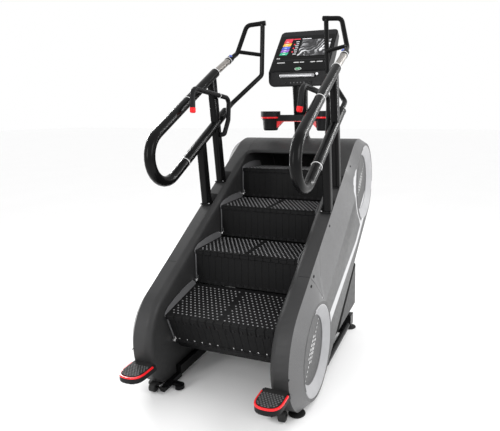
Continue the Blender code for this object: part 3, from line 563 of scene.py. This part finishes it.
FINISHES = {
    "graphite": moulded("satin_graphite", GRAPHITE, 0.46, wear=1.5),
    "lower_cover": cover_finish("cover_panel", False),
    "upper_cover": cover_finish("cover_panel_striped", True),
    "lower_ring": ring_finish("lower_ring_silver", LOWER_HUB, -150, 100),
    "upper_ring": ring_finish("upper_ring_silver", UPPER_HUB, -125, 108),
    "black_paint": painted("gloss_black_paint", BLACK, 0.24, coat=0.06, specular=0.09),
    "black_plastic": moulded("black_moulding", (0.0075, 0.0075, 0.0080), 0.42, wear=2.2, specular=0.12),
    "shell": moulded("console_moulding", (0.0065, 0.0065, 0.0070), 0.34, wear=2.0, specular=0.12),
    "rubber": moulded("black_rubber", (0.010, 0.010, 0.010), 0.62, grain=500.0, wear=2.6),
    "step": moulded("step_moulding", STEP_BLACK, 0.52, grain=420.0, strength=0.35, wear=2.6, specular=0.08),
    # The studs' pale grey is partly wear on their tops and partly painted glint.
    "stud": moulded("stud_wear_and_painted_glint", (0.20, 0.20, 0.205), 0.36, wear=2.0),
    "guard": moulded("step_side_guard", (0.085, 0.085, 0.088), 0.36, wear=2.6),
    "steel": brushed("turned_steel", (0.52, 0.52, 0.53), 0.28),
    "bright": brushed("bright_steel", (0.80, 0.80, 0.80), 0.20, (300.0, 60.0, 60.0)),
    "silver": brushed("satin_aluminium", (0.40, 0.40, 0.41), 0.34),
    "sensor": brushed("sensor_metal", (0.34, 0.32, 0.30), 0.30, (220.0, 60.0, 60.0)),
    "collar": painted("white_collar", (0.78, 0.78, 0.78), 0.30),
    "red": painted("red_trim", RED, 0.32, coat=0.4),
    "red_rubber": moulded("red_rubber", RED, 0.40, wear=1.2),
    "glass": painted("black_glass", (0.0022, 0.0022, 0.0024), 0.12, coat=0.08, specular=0.10),
    "face": moulded("console_face", (0.013, 0.013, 0.014), 0.36, wear=1.5, specular=0.10),
    "green": lit("start_green", (0.01, 0.30, 0.10), 0.20),
    "button": painted("blue_button", (0.07, 0.11, 0.40), 0.25),
    # Printed white marks, given a faint painted glow though they are no lamp.
    "label": lit("printed_white_painted_glow", (0.72, 0.72, 0.72), 0.10),
    # Black for the dark joints and screw plugs, and painted shade in the vent openings and the gaps between
    # riser teeth.
    "joint_and_shade_black": moulded("joint_and_recess_shade_black", JOINT_AND_SHADE_BLACK, 0.60),
    "diamond": moulded("pad_diamond", (0.055, 0.055, 0.056), 0.45, wear=3.0),
    "display_red": lit("display_red", (0.55, 0.02, 0.05), 0.7),
    "display_amber": lit("display_amber", (0.75, 0.38, 0.04), 0.7),
    "display_blue": lit("display_blue", (0.05, 0.10, 0.50), 0.7),
    "display_violet": lit("display_violet", (0.22, 0.08, 0.42), 0.7),
    "display_green": lit("display_green", (0.02, 0.33, 0.18), 0.7),
    "display_header": lit("display_header_red", (0.60, 0.02, 0.04), 0.7),
    "display_white": lit("display_white", (0.75, 0.75, 0.78), 0.6),
    "display_picture": picture("display_picture"),
}


def finish_cad_nodes():
    """Gives each CAD node its finish. A name stands for the node itself or for a right and a left one."""
    plan = {
        "graphite": "hood rear_cover side_shroud rear_panel",
        "lower_cover": "lower_cover",
        "upper_cover": "upper_cover",
        "lower_ring": "lower_ring",
        "upper_ring": "upper_ring",
        "black_paint": "base_frame handrail upper_loop console_mast drive_unit",
        "black_plastic": "platform assist_grip cup_tray key_panel belly_pan",
        "shell": "console_shell",
        "face": "console_bezel",
        "glass": "console_screen",
        "rubber": "front_foot rear_foot transport_wheel platform_pad",
        "step": "step_0 tread_1 riser_1 step_2 step_3 step_4 step_5",
        "steel": "lower_shaft upper_shaft drive_pulley step_chain",
        "silver": "reading_shelf volume_knob",
        "sensor": "pulse_sensor",
        "red_rubber": "grip_cap",
        "green": "start_button",
        "button": "thumb_button",
    }
    for finish, names in plan.items():
        for name in names.split():
            for node in (name, "right_" + name, "left_" + name):
                if node in NODES:
                    NODES[node].data.materials.clear()
                    NODES[node].data.materials.append(FINISHES[finish])


def smooth_by_angle(degrees):
    """A node group that shades a mesh smooth but keeps the edges sharper than an angle."""
    group = bpy.data.node_groups.new("smooth_by_angle", "GeometryNodeTree")
    for way in ("INPUT", "OUTPUT"):
        group.interface.new_socket("Geometry", in_out=way, socket_type="NodeSocketGeometry")
    angle = group.nodes.new("GeometryNodeInputMeshEdgeAngle")
    sharp = group.nodes.new("FunctionNodeCompare")
    sharp.operation = "GREATER_THAN"
    sharp.inputs[1].default_value = math.radians(degrees)
    group.links.new(angle.outputs["Unsigned Angle"], sharp.inputs[0])
    merge = group.nodes.new("GeometryNodeMergeByDistance")
    merge.inputs["Distance"].default_value = MERGE_DISTANCE
    stored = group.nodes.new("GeometryNodeRemoveAttribute")
    stored.inputs["Name"].default_value = "custom_normal"
    faces = group.nodes.new("GeometryNodeSetShadeSmooth")
    edges = group.nodes.new("GeometryNodeSetShadeSmooth")
    edges.domain = "EDGE"
    edges.inputs["Shade Smooth"].default_value = False
    group.links.new(sharp.outputs["Result"], edges.inputs["Selection"])
    start, end = group.nodes.new("NodeGroupInput"), group.nodes.new("NodeGroupOutput")
    chain = (start, merge, stored, faces, edges, end)
    for before, after in zip(chain, chain[1:]):
        group.links.new(before.outputs[0], after.inputs[0])
    return group


def smooth_cad_nodes():
    """Shades the CAD nodes smooth, with each face counting by its area, so that slivers leave no streaks."""
    common, on_covers = smooth_by_angle(28), smooth_by_angle(32)
    for name, node in NODES.items():
        node.modifiers.new("smooth", "NODES").node_group = on_covers if name.endswith(COVERS) else common
        even = node.modifiers.new("even", "WEIGHTED_NORMAL")
        even.mode = "FACE_AREA"
        even.keep_sharp = True


# ---- steps

STEP_HALF = 0.326
TOOTH_PITCH = 0.0485
PLANK_PITCH = 0.0432
STUD_FIRST = (0.021, 0.034)
STUD_PITCH = (0.0272, 0.0225)
STUD_REACH = 0.312
RIB_PITCH = 0.0238
GUARD_THICKNESS = 0.0040

# Each step from the lowest up: the tread's node and body, then the riser's.
FLIGHT = (
    ("tread_1", "lowest_tread", "riser_1", "lowest_riser"),
    *((f"step_{number}", "stair_flight") * 2 for number in (2, 3, 4)),
)


def make_treads():
    for number, (node, body, _, _) in enumerate(FLIGHT, start=1):
        tread = flat_of(node, (0, 0, 1))
        tread_studs(tread, number, body)
        tread_nosing(tread, number, body)
        side_guards(tread, number, body)


def tread_studs(tread, number, body):
    """A staggered lattice of small oval grips either side of a plain middle band."""
    profile = [(0.0054, 0.0), (0.0050, 0.0010), (0.0033, 0.0020), (0.0010, 0.0023)]
    shapes = []
    for row in range(13):
        a = STUD_FIRST[1] + row * STUD_PITCH[1]
        for column in range(11):
            x = STUD_FIRST[0] + (column + 0.5 * (row % 2)) * STUD_PITCH[0]
            if x > STUD_REACH:
                continue
            for side in (-1, 1):
                spot = tread.at(side * x, a, 0.0)
                stud = revolved(profile, spot, tread.normal, 8, stretch=(1.0, 0.62), across=(1, 0, 0))
                shapes.append(stud)
    build(f"tread_studs_{number}", shapes, "stud", body)


def tread_nosing(tread, number, body):
    """The toothed nosing strip and the fine ribs of the middle band."""
    shapes = []
    for k in range(-6, 7):
        wide = 0.026 if k == 0 else 0.0185
        shapes.append(tread.block(k * TOOTH_PITCH, 0.006, wide, 0.0125, 0.0002, 0.0034))
        shapes.append(tread.block(k * TOOTH_PITCH, -0.0016, wide, 0.0026, -0.021, -0.0015))
    for k in range(12):
        shapes.append(tread.block(0.0, 0.036 + k * RIB_PITCH, 0.0065, 0.0022, 0.0002, 0.0012, 0.0004))
    build(f"tread_nosing_{number}", shapes, "step", body)


def side_guards(tread, number, body):
    """Upright guards that close the gap beside each tread, rising towards the back."""
    outline = [(-0.002, -0.010), (0.004, 0.008)]
    for k in range(1, 10):
        share = k / 9
        rise = 0.036 * math.sin(math.pi * (0.06 + 0.62 * share)) ** 0.8
        outline.append((0.004 + 0.300 * share, 0.008 + rise))
    outline += [(0.328, 0.012), (0.328, -0.010)]
    inner = STEP_HALF + 0.0004
    shapes = [tread.sheet(outline, side * inner, side * (inner + GUARD_THICKNESS)) for side in (-1, 1)]
    build(f"tread_guards_{number}", shapes, "guard", body)


def make_risers():
    for number, (_, _, node, body) in enumerate(FLIGHT, start=1):
        riser = flat_of(node, (0, -1, 0))
        riser_planks(riser, number, body)
        riser_slots(riser, number, body)
        riser_ends(riser, number, body)


def riser_planks(riser, number, body):
    """Upright planks between a toothed strip along the top and another along the foot."""
    height = riser.length
    planks = []
    for k in range(-7, 8):
        middle, half = height * 0.47, height * 0.40
        planks.append(riser.block(k * PLANK_PITCH, middle, 0.0205, half, 0.0002, 0.0016, 0.0006))
    for k in range(-6, 7):
        wide = 0.024 if k == 0 else 0.0115
        planks.append(riser.block(k * TOOTH_PITCH, height - 0.0145, wide, 0.0125, 0.0003, 0.0045))
        planks.append(riser.block(k * TOOTH_PITCH + 0.024, 0.0085, 0.0150, 0.0080, 0.0003, 0.0055))
    build(f"riser_planks_{number}", planks, "step", body)


def riser_slots(riser, number, body):
    """Dark blocks between the teeth of both strips: painted shade where the gaps are."""
    slots = []
    for k in range(-6, 7):
        slots.append(riser.block(k * TOOTH_PITCH, 0.0100, 0.0105, 0.0088, 0.0004, 0.0030, 0.0005))
    for k in range(-7, 7):
        x, a = (k + 0.5) * TOOTH_PITCH, riser.length - 0.0125
        slots.append(riser.block(x, a, 0.0055, 0.0105, 0.0004, 0.0030, 0.0005))
    build(f"riser_slots_{number}", slots, "joint_and_shade_black", body)


def riser_ends(riser, number, body):
    """A pale edge up each end of a riser, and the roller and clip at its foot."""
    low, high = 0.020, riser.length - 0.004
    profile = [(0.0045, -0.014), (0.0115, -0.014), (0.0125, -0.012), (0.0125, 0.004), (0.0045, 0.006)]
    edges, rollers = [], []
    for side in (-1, 1):
        low_x, high_x = sorted((side * (STEP_HALF - 0.004), side * (STEP_HALF + 0.0035)))
        outline = [(low_x, low), (high_x, low), (high_x, high), (low_x, high)]
        edges.append(riser.plate(outline, 0.0004, 0.0050))
        foot = riser.at(side * (STEP_HALF + 0.0010), 0.016, 0.008)
        rollers.append(revolved(profile, foot, (side, 0, 0), 20))
        rollers.append(riser.block(side * (STEP_HALF - 0.010), 0.034, 0.0045, 0.012, 0.0004, 0.0085))
    build(f"riser_edges_{number}", edges, "guard", body)
    build(f"riser_rollers_{number}", rollers, "bright", body)


def make_lowest_foot():
    """Screws along the foot of the lowest riser and the scalloped edge of the step below it."""
    riser = flat_of("riser_1", (0, -1, 0))
    profile = [(0.0046, 0.0), (0.0042, 0.0016), (0.0026, 0.0026), (0.0010, 0.0028)]
    screws = []
    for k in range(-6, 7):
        if k != 0:
            spot = riser.at(k * TOOTH_PITCH, 0.027, 0.0016)
            screws.append(revolved(profile, spot, riser.normal, 14))
    build("riser_screws", screws, "bright", "lowest_riser")
    flange = flat_of("step_0", (0, -1, -0.4))
    middle, half = flange.length * 0.55, flange.length * 0.34
    teeth = [flange.block(k * RIB_PITCH, middle, 0.0085, half, 0.0003, 0.0042) for k in range(-13, 14)]
    build("return_step_teeth", teeth, "step", "return_step")


# ---- covers and shrouds

DISH_FLOOR_X = 0.4585
PROBE_X = 0.6
SEAM_ALONG = 0.222
SEAM_TOP = 0.310
MARK_PITCH = 0.0235
MARK_COLUMN_PITCH = 0.0225
MARK_SLANT = math.radians(47)


def on_cover(side, along, height):
    """The point of a cover's outer surface at a place on the belt, and the way it faces."""
    label, sign = side
    start = (sign * PROBE_X, *on_belt(along, height))
    nearest = None
    for name in COVERS:
        hit, point, normal, _ = NODES[f"{label}_{name}"].ray_cast(start, (-sign, 0, 0))
        if hit and (nearest is None or abs(point.x) > abs(nearest[0].x)):
            nearest = (point, normal)
    return nearest


def make_cover_screws():
    """Oblong black screw plugs near the covers' upper edge and a slot by the lower wheel."""
    plug = [(0.0082, -0.0010), (0.0082, 0.0006), (0.0066, 0.0016), (0.0040, 0.0011), (0.0010, 0.0011)]
    slot = [(0.0100, -0.0010), (0.0100, 0.0006), (0.0088, 0.0012), (0.0010, 0.0012)]
    for side in SIDES:
        shapes = []
        for along, height in ((1.196, 0.287), (0.626, 0.291), (0.249, 0.292), (0.185, 0.290)):
            spot = on_cover(side, along, height)
            shapes.append(revolved(plug, *spot, 16, stretch=(1.25, 0.75), across=heading(SLOPE)))
        spot = on_cover(side, -0.264, 0.163)
        shapes.append(revolved(slot, *spot, 16, stretch=(1.3, 0.36), across=(0, 0.94, 0.34)))
        build(f"{side[0]}_cover_screws", shapes, "joint_and_shade_black")


def make_cover_seams():
    """The fine dark joint between the lower and upper covers, with a small bright catch at its foot."""
    section = ((-0.0008, -0.0003), (0.0008, -0.0003), (0.0008, 0.0004), (-0.0008, 0.0004))
    profile = [(0.0052, 0.0), (0.0048, 0.0012), (0.0014, 0.0016)]
    for side in SIDES:
        rings = []
        for k in range(13):
            ring = []
            for along, lift in section:
                spot, normal = on_cover(side, SEAM_ALONG + along, SEAM_TOP - k * 0.0147)
                ring.append(spot + normal * lift)
            rings.append(ring)
        build(f"{side[0]}_cover_seam", [loft(rings)], "joint_and_shade_black")
        spot = on_cover(side, 0.212, 0.166)
        catch = revolved(profile, *spot, 16, stretch=(1.6, 0.6), across=(0, 0.53, -0.85))
        build(f"{side[0]}_cover_catch", [catch], "bright")


def make_disc_marks():
    """A slanting column of pale rectangular marks on the floor of each dish, smaller towards its ends."""
    longest = 0.165
    for label, side in SIDES:
        for wheel, hub in (("lower", LOWER_HUB), ("upper", UPPER_HUB)):
            shapes = []
            for column, reach in ((-1, 0.062), (0, longest), (1, 0.062)):
                for k in range(-7, 8):
                    along = (k + 0.5 * (column != 0)) * MARK_PITCH
                    if abs(along) <= reach:
                        size = 1.0 - 0.55 * abs(along) / longest
                        shapes.append(mark(side, hub, along, column * MARK_COLUMN_PITCH, size))
            build(f"{label}_{wheel}_disc_marks", shapes, "label")


def mark(side, hub, along, across, size):
    """One pale mark, placed along and across the column's slanting line through the hub."""
    cosine, sine = math.cos(MARK_SLANT), math.sin(MARK_SLANT)
    rings = []
    for lift, ease in ((0.0001, 0.0), (0.0006, 0.0), (0.0009, 0.0006)):
        ring = []
        for u, v in CORNERS:
            long = along + u * (0.0082 * size - ease)
            wide = across + v * (0.0052 * size - ease)
            y = hub[0] + long * cosine - wide * sine
            z = hub[1] + long * sine + wide * cosine
            ring.append((side * (DISH_FLOOR_X + lift), y, z))
        rings.append(ring)
    return loft(rings)


def make_shroud_seams():
    """A fine dark joint line across each shroud's top face."""
    for label, side in SIDES:
        rings = []
        for x in (0.376, 0.439):
            places = [on_belt(SEAM_ALONG + u * 0.0011, SHROUD_RADIUS + v * 0.0004) for u, v in CORNERS]
            rings.append([(side * x, *place) for place in places])
        build(f"{label}_shroud_seam", [loft(rings)], "joint_and_shade_black")


# ---- rails, grips and posts


def rail_point(side, level, along):
    """A place on a rail's straight run: level 1 is the upper run, -1 the lower."""
    middle = Vector((side * RAIL_X, *BEND_CENTRE))
    lift = heading(RAIL_SLOPE + RIGHT_ANGLE) * (level * BEND_RADIUS)
    return middle + lift + heading(RAIL_SLOPE) * along


def make_collars():
    """White rings at the joints of the rails, sensors and grips, and dark bands at each sensor's ends."""
    ahead = heading(RAIL_SLOPE)
    run = SENSOR_END - UPPER_RAIL_END
    for label, side in SIDES:
        across = Vector((side * RAIL_X, 0, 0))
        collars = []
        for level, along in ((1, 0.372), (-1, 0.147)):
            spot = rail_point(side, level, along)
            collars.append(washer(spot, ahead, RAIL_RADIUS - 0.001, RAIL_RADIUS + 0.0022, -0.0022, 0.0022))
        for share, outer in ((0.008, 0.0318), (0.985, 0.0262)):
            spot = UPPER_RAIL_END + run * share + across
            collars.append(washer(spot, run, SENSOR_RING, outer, -0.0026, 0.0026))
        build(f"{label}_rail_collars", collars, "collar")
        bands = []
        for share in (0.055, 0.945):
            spot = UPPER_RAIL_END + run * share + across
            bands.append(washer(spot, run, SENSOR_RING, 0.0248, -0.0055, 0.0055))
        build(f"{label}_sensor_bands", bands, "glass")
        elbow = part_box(label + "_handrail")[1]
        spot = Vector((side * RAIL_X, elbow.y - 0.006, 1.5235))
        ends = [washer(spot, ahead, 0.0166, RAIL_RADIUS + 0.0016, 0.0, 0.0040)]
        grip = [Vector((side * point.x, point.y, point.z)) for point in GRIP_RUN]
        ends.append(washer(grip[0].lerp(grip[1], 0.30), grip[1] - grip[0], 0.0150, 0.0180, -0.002, 0.002))
        build(f"{label}_end_collars", ends, "collar")


def bolt(spot, axis, radius):
    """A button-head bolt with a hexagon socket."""
    profile = ((0.45, 0.0006), (0.5, 0.0042), (0.8, 0.0038), (1.0, 0.0016), (1.0, 0.0))
    head = [(radius * share, height) for share, height in profile]
    return revolved(head, spot, axis, 18)


def make_post_feet():
    """Bolts on the flanges of the handrail posts."""
    places = ((-0.086, 0.9332), (-0.020, 0.9332), (0.115, 1.0532), (0.181, 1.0532))
    for label, side in SIDES:
        shapes = [bolt((side * 0.3805, y, z), (0, 0, 1), 0.0046) for y, z in places]
        build(f"{label}_post_bolts", shapes, "steel")


# ---- cups

CUP_X = 0.208
CUP_ARM_Z = 1.455


def make_cup_trim():
    """Red bands and gussets under the cup holders, and rubber rims inside them."""
    low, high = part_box("cup_tray")
    middle = (low.y + high.y) / 2
    band = [(0.0655, 1.4725), (0.0700, 1.4725), (0.0752, 1.4765), (0.0752, 1.4850), (0.0742, 1.4850)]
    band.append((0.0735, 1.4845))
    rim = [(0.0530, -0.0002), (0.0735, -0.0002), (0.0738, 0.0020), (0.0700, 0.0036), (0.0560, 0.0036)]
    rim = [(radius, high.z + lift) for radius, lift in rim + [(0.0528, 0.0016)]]
    arm_foot = CUP_ARM_Z - 0.0004
    gusset = ((0.153, 1.405), (0.153, arm_foot), (0.100, arm_foot), (0.112, 1.446))
    bands, rims = [], []
    for side in (-1, 1):
        centre = (side * CUP_X, middle, 0)
        bands.append(revolved(band, centre, (0, 0, 1), 40, closed=True))
        for lean in (-0.014, 0.0, 0.014):
            faces = (middle + lean - 0.0035, middle + lean + 0.0035)
            bands.append(loft([[(side * x, y, z) for x, z in gusset] for y in faces]))
        rims.append(revolved(rim, centre, (0, 0, 1), 40, closed=True))
    for y in (middle - 0.018, middle + 0.012):
        section = ((-0.004, -0.005), (0.004, -0.005), (0.004, -0.0004), (-0.004, -0.0004))
        bands.append(loft([[(x, y + a, CUP_ARM_Z + b) for a, b in section] for x in (-0.146, 0.146)]))
    build("cup_red_trim", bands, "red")
    build("cup_rims", rims, "rubber")


# ---- console

BEZEL_LIFT = 0.0047
DISPLAY_LIFT = 0.0070
DISPLAY_TOP = 0.0074
START_BUTTON_A = 0.022
CONSOLE_DEPTH = 0.0845
BACK_BEND = 0.26
BACK_TAPER = 0.216


def console_place():
    """The glass face of the console: a from its lower edge upwards, h off the glass."""
    return Place((0, *CONSOLE_FOOT), heading(CONSOLE_TILT), heading(CONSOLE_TILT + RIGHT_ANGLE))


def make_console_face():
    """Black glass round the display and in a lower band, which is open round the start button."""
    face = console_place()
    over = BEZEL_LIFT
    band, button_gap = rounded(0.2155, 0.008, 0.112, 0.022), rounded(0.0225, 0.0095, 0.0345, 0.0122)
    glass, opening = rounded(0.214, 0.128, 0.384, 0.008), rounded(0.2012, 0.1488, 0.3612, 0.004)
    panes = [frame_strip(face, band, button_gap, over, over + 0.0010)]
    panes.append(frame_strip(face, glass, opening, over, over + 0.0012))
    build("console_glass", panes, "glass")
    marks = []
    for x, half in ((-0.150, 0.030), (-0.030, 0.020), (0.015, 0.016), (0.098, 0.018), (0.150, 0.022)):
        marks.append(face.block(x, 0.090, half, 0.0040, over + 0.0011, over + 0.0017, 0.0003))
    for x in (-0.190, -0.176):
        marks.append(face.block(x, 0.137, 0.0048, 0.0048, over + 0.0012, over + 0.0020, 0.0003))
    build("console_labels", marks, "label")
    profile = [(0.0205, 0.0011), (0.0262, 0.0011), (0.0262, 0.0020), (0.0205, 0.0020)]
    middle = face.at(0, START_BUTTON_A, over)
    oval = revolved(profile, middle, face.normal, 40, closed=True, stretch=(1.0, 0.56), across=(1, 0, 0))
    build("start_button_outline", [oval], "label")
    dash = []
    for x in (-0.0058, 0.0058):
        dash.append(face.block(x, START_BUTTON_A, 0.0040, 0.0018, 0.0094, 0.0101, 0.0003))
    build("start_button_dash", dash, "label", "start_button")


def frame_strip(face, outer, inner, low, high):
    """A flat frame between two matching (x, a) outlines."""
    rings = []
    for out, into in zip(outer, inner):
        rings.append([face.at(*out, low), face.at(*out, high), face.at(*into, high), face.at(*into, low)])
    return loft(rings, closed=True)


def make_display():
    """The lit display: slanting coloured tiles, a list and a picture, with no lettering."""
    face = console_place()
    over, top = DISPLAY_LIFT, DISPLAY_TOP
    tiles = (
        ("red", 0.304, 0.352),
        ("amber", 0.268, 0.300),
        ("blue", 0.236, 0.264),
        ("violet", 0.204, 0.232),
        ("green", 0.172, 0.200),
    )
    for colour, low, high in tiles:
        lean = (low - 0.172) * 0.06
        corners = ((-0.186, low), (-0.124, low), (-0.116, high), (-0.178, high))
        tile = face.plate([(x + lean, a) for x, a in corners], over, top)
        build(f"display_tile_{colour}", [tile], "display_" + colour)
    header = [face.block(-0.078, 0.345, 0.026, 0.005, over, top, 0.0001)]
    for k in range(3):
        header.append(face.block(-0.088 + k * 0.001, 0.205 + 0.040 * k, 0.006, 0.006, over, top, 0.0001))
    build("display_header", header, "display_header")
    rows = []
    for k in range(7):
        a = 0.180 + k * 0.0225
        x, half = (-0.062, 0.010) if k % 2 else (-0.066, 0.013)
        rows.append(face.block(x, a, half, 0.0028, over, top, 0.0001))
        rows.append(face.block(-0.150, a + 0.002, 0.010, 0.0022, top, top + 0.0004, 0.0001))
    rows.append(face.block(0.000, 0.345, 0.036, 0.0030, over, top, 0.0001))
    build("display_rows", rows, "display_white")
    scene = face.plate([(-0.040, 0.158), (0.196, 0.158), (0.196, 0.334), (-0.030, 0.334)], over, top)
    build("display_picture", [scene], "display_picture")


def make_console_trim():
    """Buttons on the key strip, and the vents and screws on the shell's back; the vents are dark slats of
    painted shade.
    """
    low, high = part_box("key_panel")
    front, height = low.y, (low.z + high.z) / 2
    end = [(0.0072, 0.0), (0.0072, 0.0014), (0.0058, 0.0024), (0.0012, 0.0020)]
    key = [(0.0046, 0.0), (0.0044, 0.0008), (0.0010, 0.0010)]
    ends = [revolved(end, (x, front, height), (0, -1, 0), 24) for x in (-0.092, 0.092)]
    build("key_panel_ends", ends, "glass", "key_panel")
    keys = [revolved(key, (k * 0.026, front, height), (0, -1, 0), 16) for k in range(-2, 3)]
    build("key_panel_keys", keys, "guard", "key_panel")
    face = console_place()
    back = Place(face.at(0, 0, -CONSOLE_DEPTH), face.along, -face.normal)
    screws = []
    for x in (-0.190, 0.190):
        for a in (0.290, 0.400):
            spot = back.at(x, a, 0.0001 - (a - BACK_BEND) * BACK_TAPER)
            screws.append(bolt(spot, back.normal, 0.005))
    vents = [back.block(0, 0.130 + k * 0.014, 0.110, 0.0028, 0, 0.0021, 0.0008) for k in range(9)]
    build("console_vents", vents, "joint_and_shade_black")
    build("console_screws", screws, "steel")


# ---- platforms, feet and back

PLATFORM_CENTRE = (0.377, -0.8896)
PLATFORM_HALF_SIZE = (0.070, 0.080)
DIAMOND_PITCH = (0.0155, 0.0122)
DIAMOND = [(0.0062, 0.0), (0.0050, 0.0022), (0.0034, 0.0028)]
REAR_COVER_RADIUS = 0.3135


def platform_edge(side, inset, z):
    """The rounded front of a step-up platform, drawn in by inset, as points at one height."""
    half_x, half_y = PLATFORM_HALF_SIZE[0] - inset, PLATFORM_HALF_SIZE[1] - inset
    points = [(half_x, 0.052), (half_x, 0.026)]
    for k in range(33):
        angle = -math.pi * k / 32
        cosine, sine = math.cos(angle), math.sin(angle)
        points.append((half_x * math.copysign(abs(cosine) ** 0.75, cosine), -half_y * abs(sine) ** 0.75))
    points += [(-half_x, 0.026), (-half_x, 0.052)]
    return [Vector((side * (PLATFORM_CENTRE[0] + x), PLATFORM_CENTRE[1] + y, z)) for x, y in points]


def make_platform_trim():
    """The red line round each platform's top and the raised diamonds of its pad."""
    for label, side in SIDES:
        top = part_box(label + "_platform")[1].z
        section = ((-0.0012, -0.0050), (0.0005, 0.0018), (0.0072, 0.0022), (0.0072, 0.0003))
        edges = [platform_edge(side, inset, top + lift) for inset, lift in section]
        rings = [list(ring) for ring in zip(*edges)]
        build(f"{label}_platform_trim", [loft(rings)], "red")
        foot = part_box(label + "_platform_pad")[1].z - 0.0002
        diamonds = []
        for row in range(9):
            for column in range(-4, 5):
                u = (column + 0.5 * (row % 2)) * DIAMOND_PITCH[0]
                v = row * DIAMOND_PITCH[1] - 0.066
                limit = 1 - min(1.0, max(0.0, -v / 0.070)) ** 2.6
                if abs(u) <= 0.056 * limit**0.5:
                    spot = (side * (PLATFORM_CENTRE[0] + u), PLATFORM_CENTRE[1] + v, foot)
                    diamond = revolved(DIAMOND, spot, (0, 0, 1), 4, across=(1, 0, 0), stretch=(1.0, 0.85))
                    diamonds.append(diamond)
        build(f"{label}_platform_diamonds", diamonds, "diamond")


def make_foot_nuts():
    """Hexagon lock nuts on the rear levelling feet's stems, seen under the frame."""
    profile = [(0.0103, 0.0), (0.0165, 0.0008), (0.0165, 0.0052), (0.0103, 0.0060)]
    for label, _ in SIDES:
        middle = centre_of(label + "_rear_foot")
        nut = revolved(profile, (middle.x, middle.y, 0.0112), (0, 0, 1), 6, closed=True)
        build(f"{label}_rear_foot_nut", [nut], "steel", label + "_rear_foot")


def make_wheel_caps():
    """Dark hub caps on the transport wheels."""
    profile = [(0.0066, -0.0001), (0.0170, -0.0001), (0.0165, 0.0010), (0.0090, 0.0018), (0.0066, 0.0016)]
    for label, _ in SIDES:
        wheel = label + "_transport_wheel"
        caps = []
        for way, corner in zip((-1, 1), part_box(wheel)):
            caps.append(revolved(profile, (corner.x, *centre_of(wheel).yz), (way, 0, 0), 24, closed=True))
        build(f"{label}_wheel_caps", caps, "shell", wheel)


def make_rear_details():
    """Vents and screws on the rear cover, which closes the belt's upper end; the vents are dark slats of
    painted shade.
    """
    slats, screws = [], []
    for k in range(10):
        place = rear_place(2 - k * 2.6)
        for x in (-0.105, 0.105):
            slats.append(place.block(x, 0.0, 0.080, 0.0030, -0.0002, 0.0004, 0.0002))
    for degrees in (54, 12, -38):
        place = rear_place(degrees)
        for x in (-0.315, 0.315):
            screws.append(bolt(place.at(x, 0, -0.0004), place.normal, 0.0055))
    build("rear_vents", slats, "joint_and_shade_black")
    build("rear_screws", screws, "steel")


def rear_place(degrees):
    """A Place on the rear cover at an angle above the level of the upper hub."""
    angle = math.radians(degrees)
    normal = heading(angle)
    return Place(Vector((0, *UPPER_HUB)) + normal * REAR_COVER_RADIUS, heading(angle + RIGHT_ANGLE), normal)


# ---- camera, floor and light

FLOOR_HALF = 40


def make_camera():
    data = bpy.data.cameras.new("camera")
    camera = add("camera", data)
    level = math.cos(CAMERA_PITCH)
    ahead = Vector((-math.sin(CAMERA_YAW) * level, math.cos(CAMERA_YAW) * level, -math.sin(CAMERA_PITCH)))
    camera.location = CAMERA_PLACE
    camera.rotation_mode = "QUATERNION"
    camera.rotation_quaternion = ahead.to_track_quat("-Z", "Y") @ Quaternion((0, 0, 1), CAMERA_ROLL)
    data.lens = CAMERA_LENS
    data.sensor_width = 36
    data.shift_x, data.shift_y = CAMERA_SHIFT
    data.clip_start = 0.05
    bpy.context.scene.camera = camera


def make_floor():
    mesh = bpy.data.meshes.new("floor")
    mesh.from_pydata([(x * FLOOR_HALF, y * FLOOR_HALF, 0) for x, y in CORNERS], [], [(0, 1, 2, 3)])
    graph = Graph("pale_floor")
    tone = graph.mix(graph.noise(1.3, 3.0), (0.96, 0.96, 0.96), (0.985, 0.985, 0.985))
    mesh.materials.append(graph.finish(tone, 0.85, specular=0.2))
    add("floor", mesh)


def area_light(name, place, aim, size, power):
    data = bpy.data.lights.new(name, "AREA")
    data.shape = "RECTANGLE"
    data.size, data.size_y = size
    data.energy = power
    light = add(name, data)
    light.location = place
    light.rotation_mode = "QUATERNION"
    light.rotation_quaternion = (Vector(aim) - Vector(place)).to_track_quat("-Z", "Y")


def make_lights():
    world = bpy.data.worlds.new("studio")
    world.use_nodes = True
    background = world.node_tree.nodes["Background"]
    background.inputs["Strength"].default_value = 1.0
    background.inputs["Color"].default_value = (1.0, 1.0, 1.0, 1.0)
    scene = bpy.context.scene
    scene.world = world
    scene.view_settings.view_transform = "Standard"
    area_light("key", (3.4, -1.2, 2.2), (0.1, 0.0, 0.8), (1.6, 1.6), 45)
    area_light("front", (-1.4, -4.0, 2.0), (0.0, 0.0, 0.9), (0.3, 2.0), 45)
    area_light("left_rim", (-2.6, 1.2, 2.0), (-0.2, -0.3, 1.2), (0.12, 2.6), 55)
    area_light("right_rim", (2.2, 2.2, 2.4), (0.2, -0.1, 1.3), (0.12, 2.2), 45)


finish_cad_nodes()
smooth_cad_nodes()
make_treads()
make_risers()
make_lowest_foot()
make_cover_screws()
make_cover_seams()
make_disc_marks()
make_shroud_seams()
make_collars()
make_post_feet()
make_cup_trim()
make_console_face()
make_display()
make_console_trim()
make_platform_trim()
make_foot_nuts()
make_wheel_caps()
make_rear_details()
make_camera()
make_floor()
make_lights()
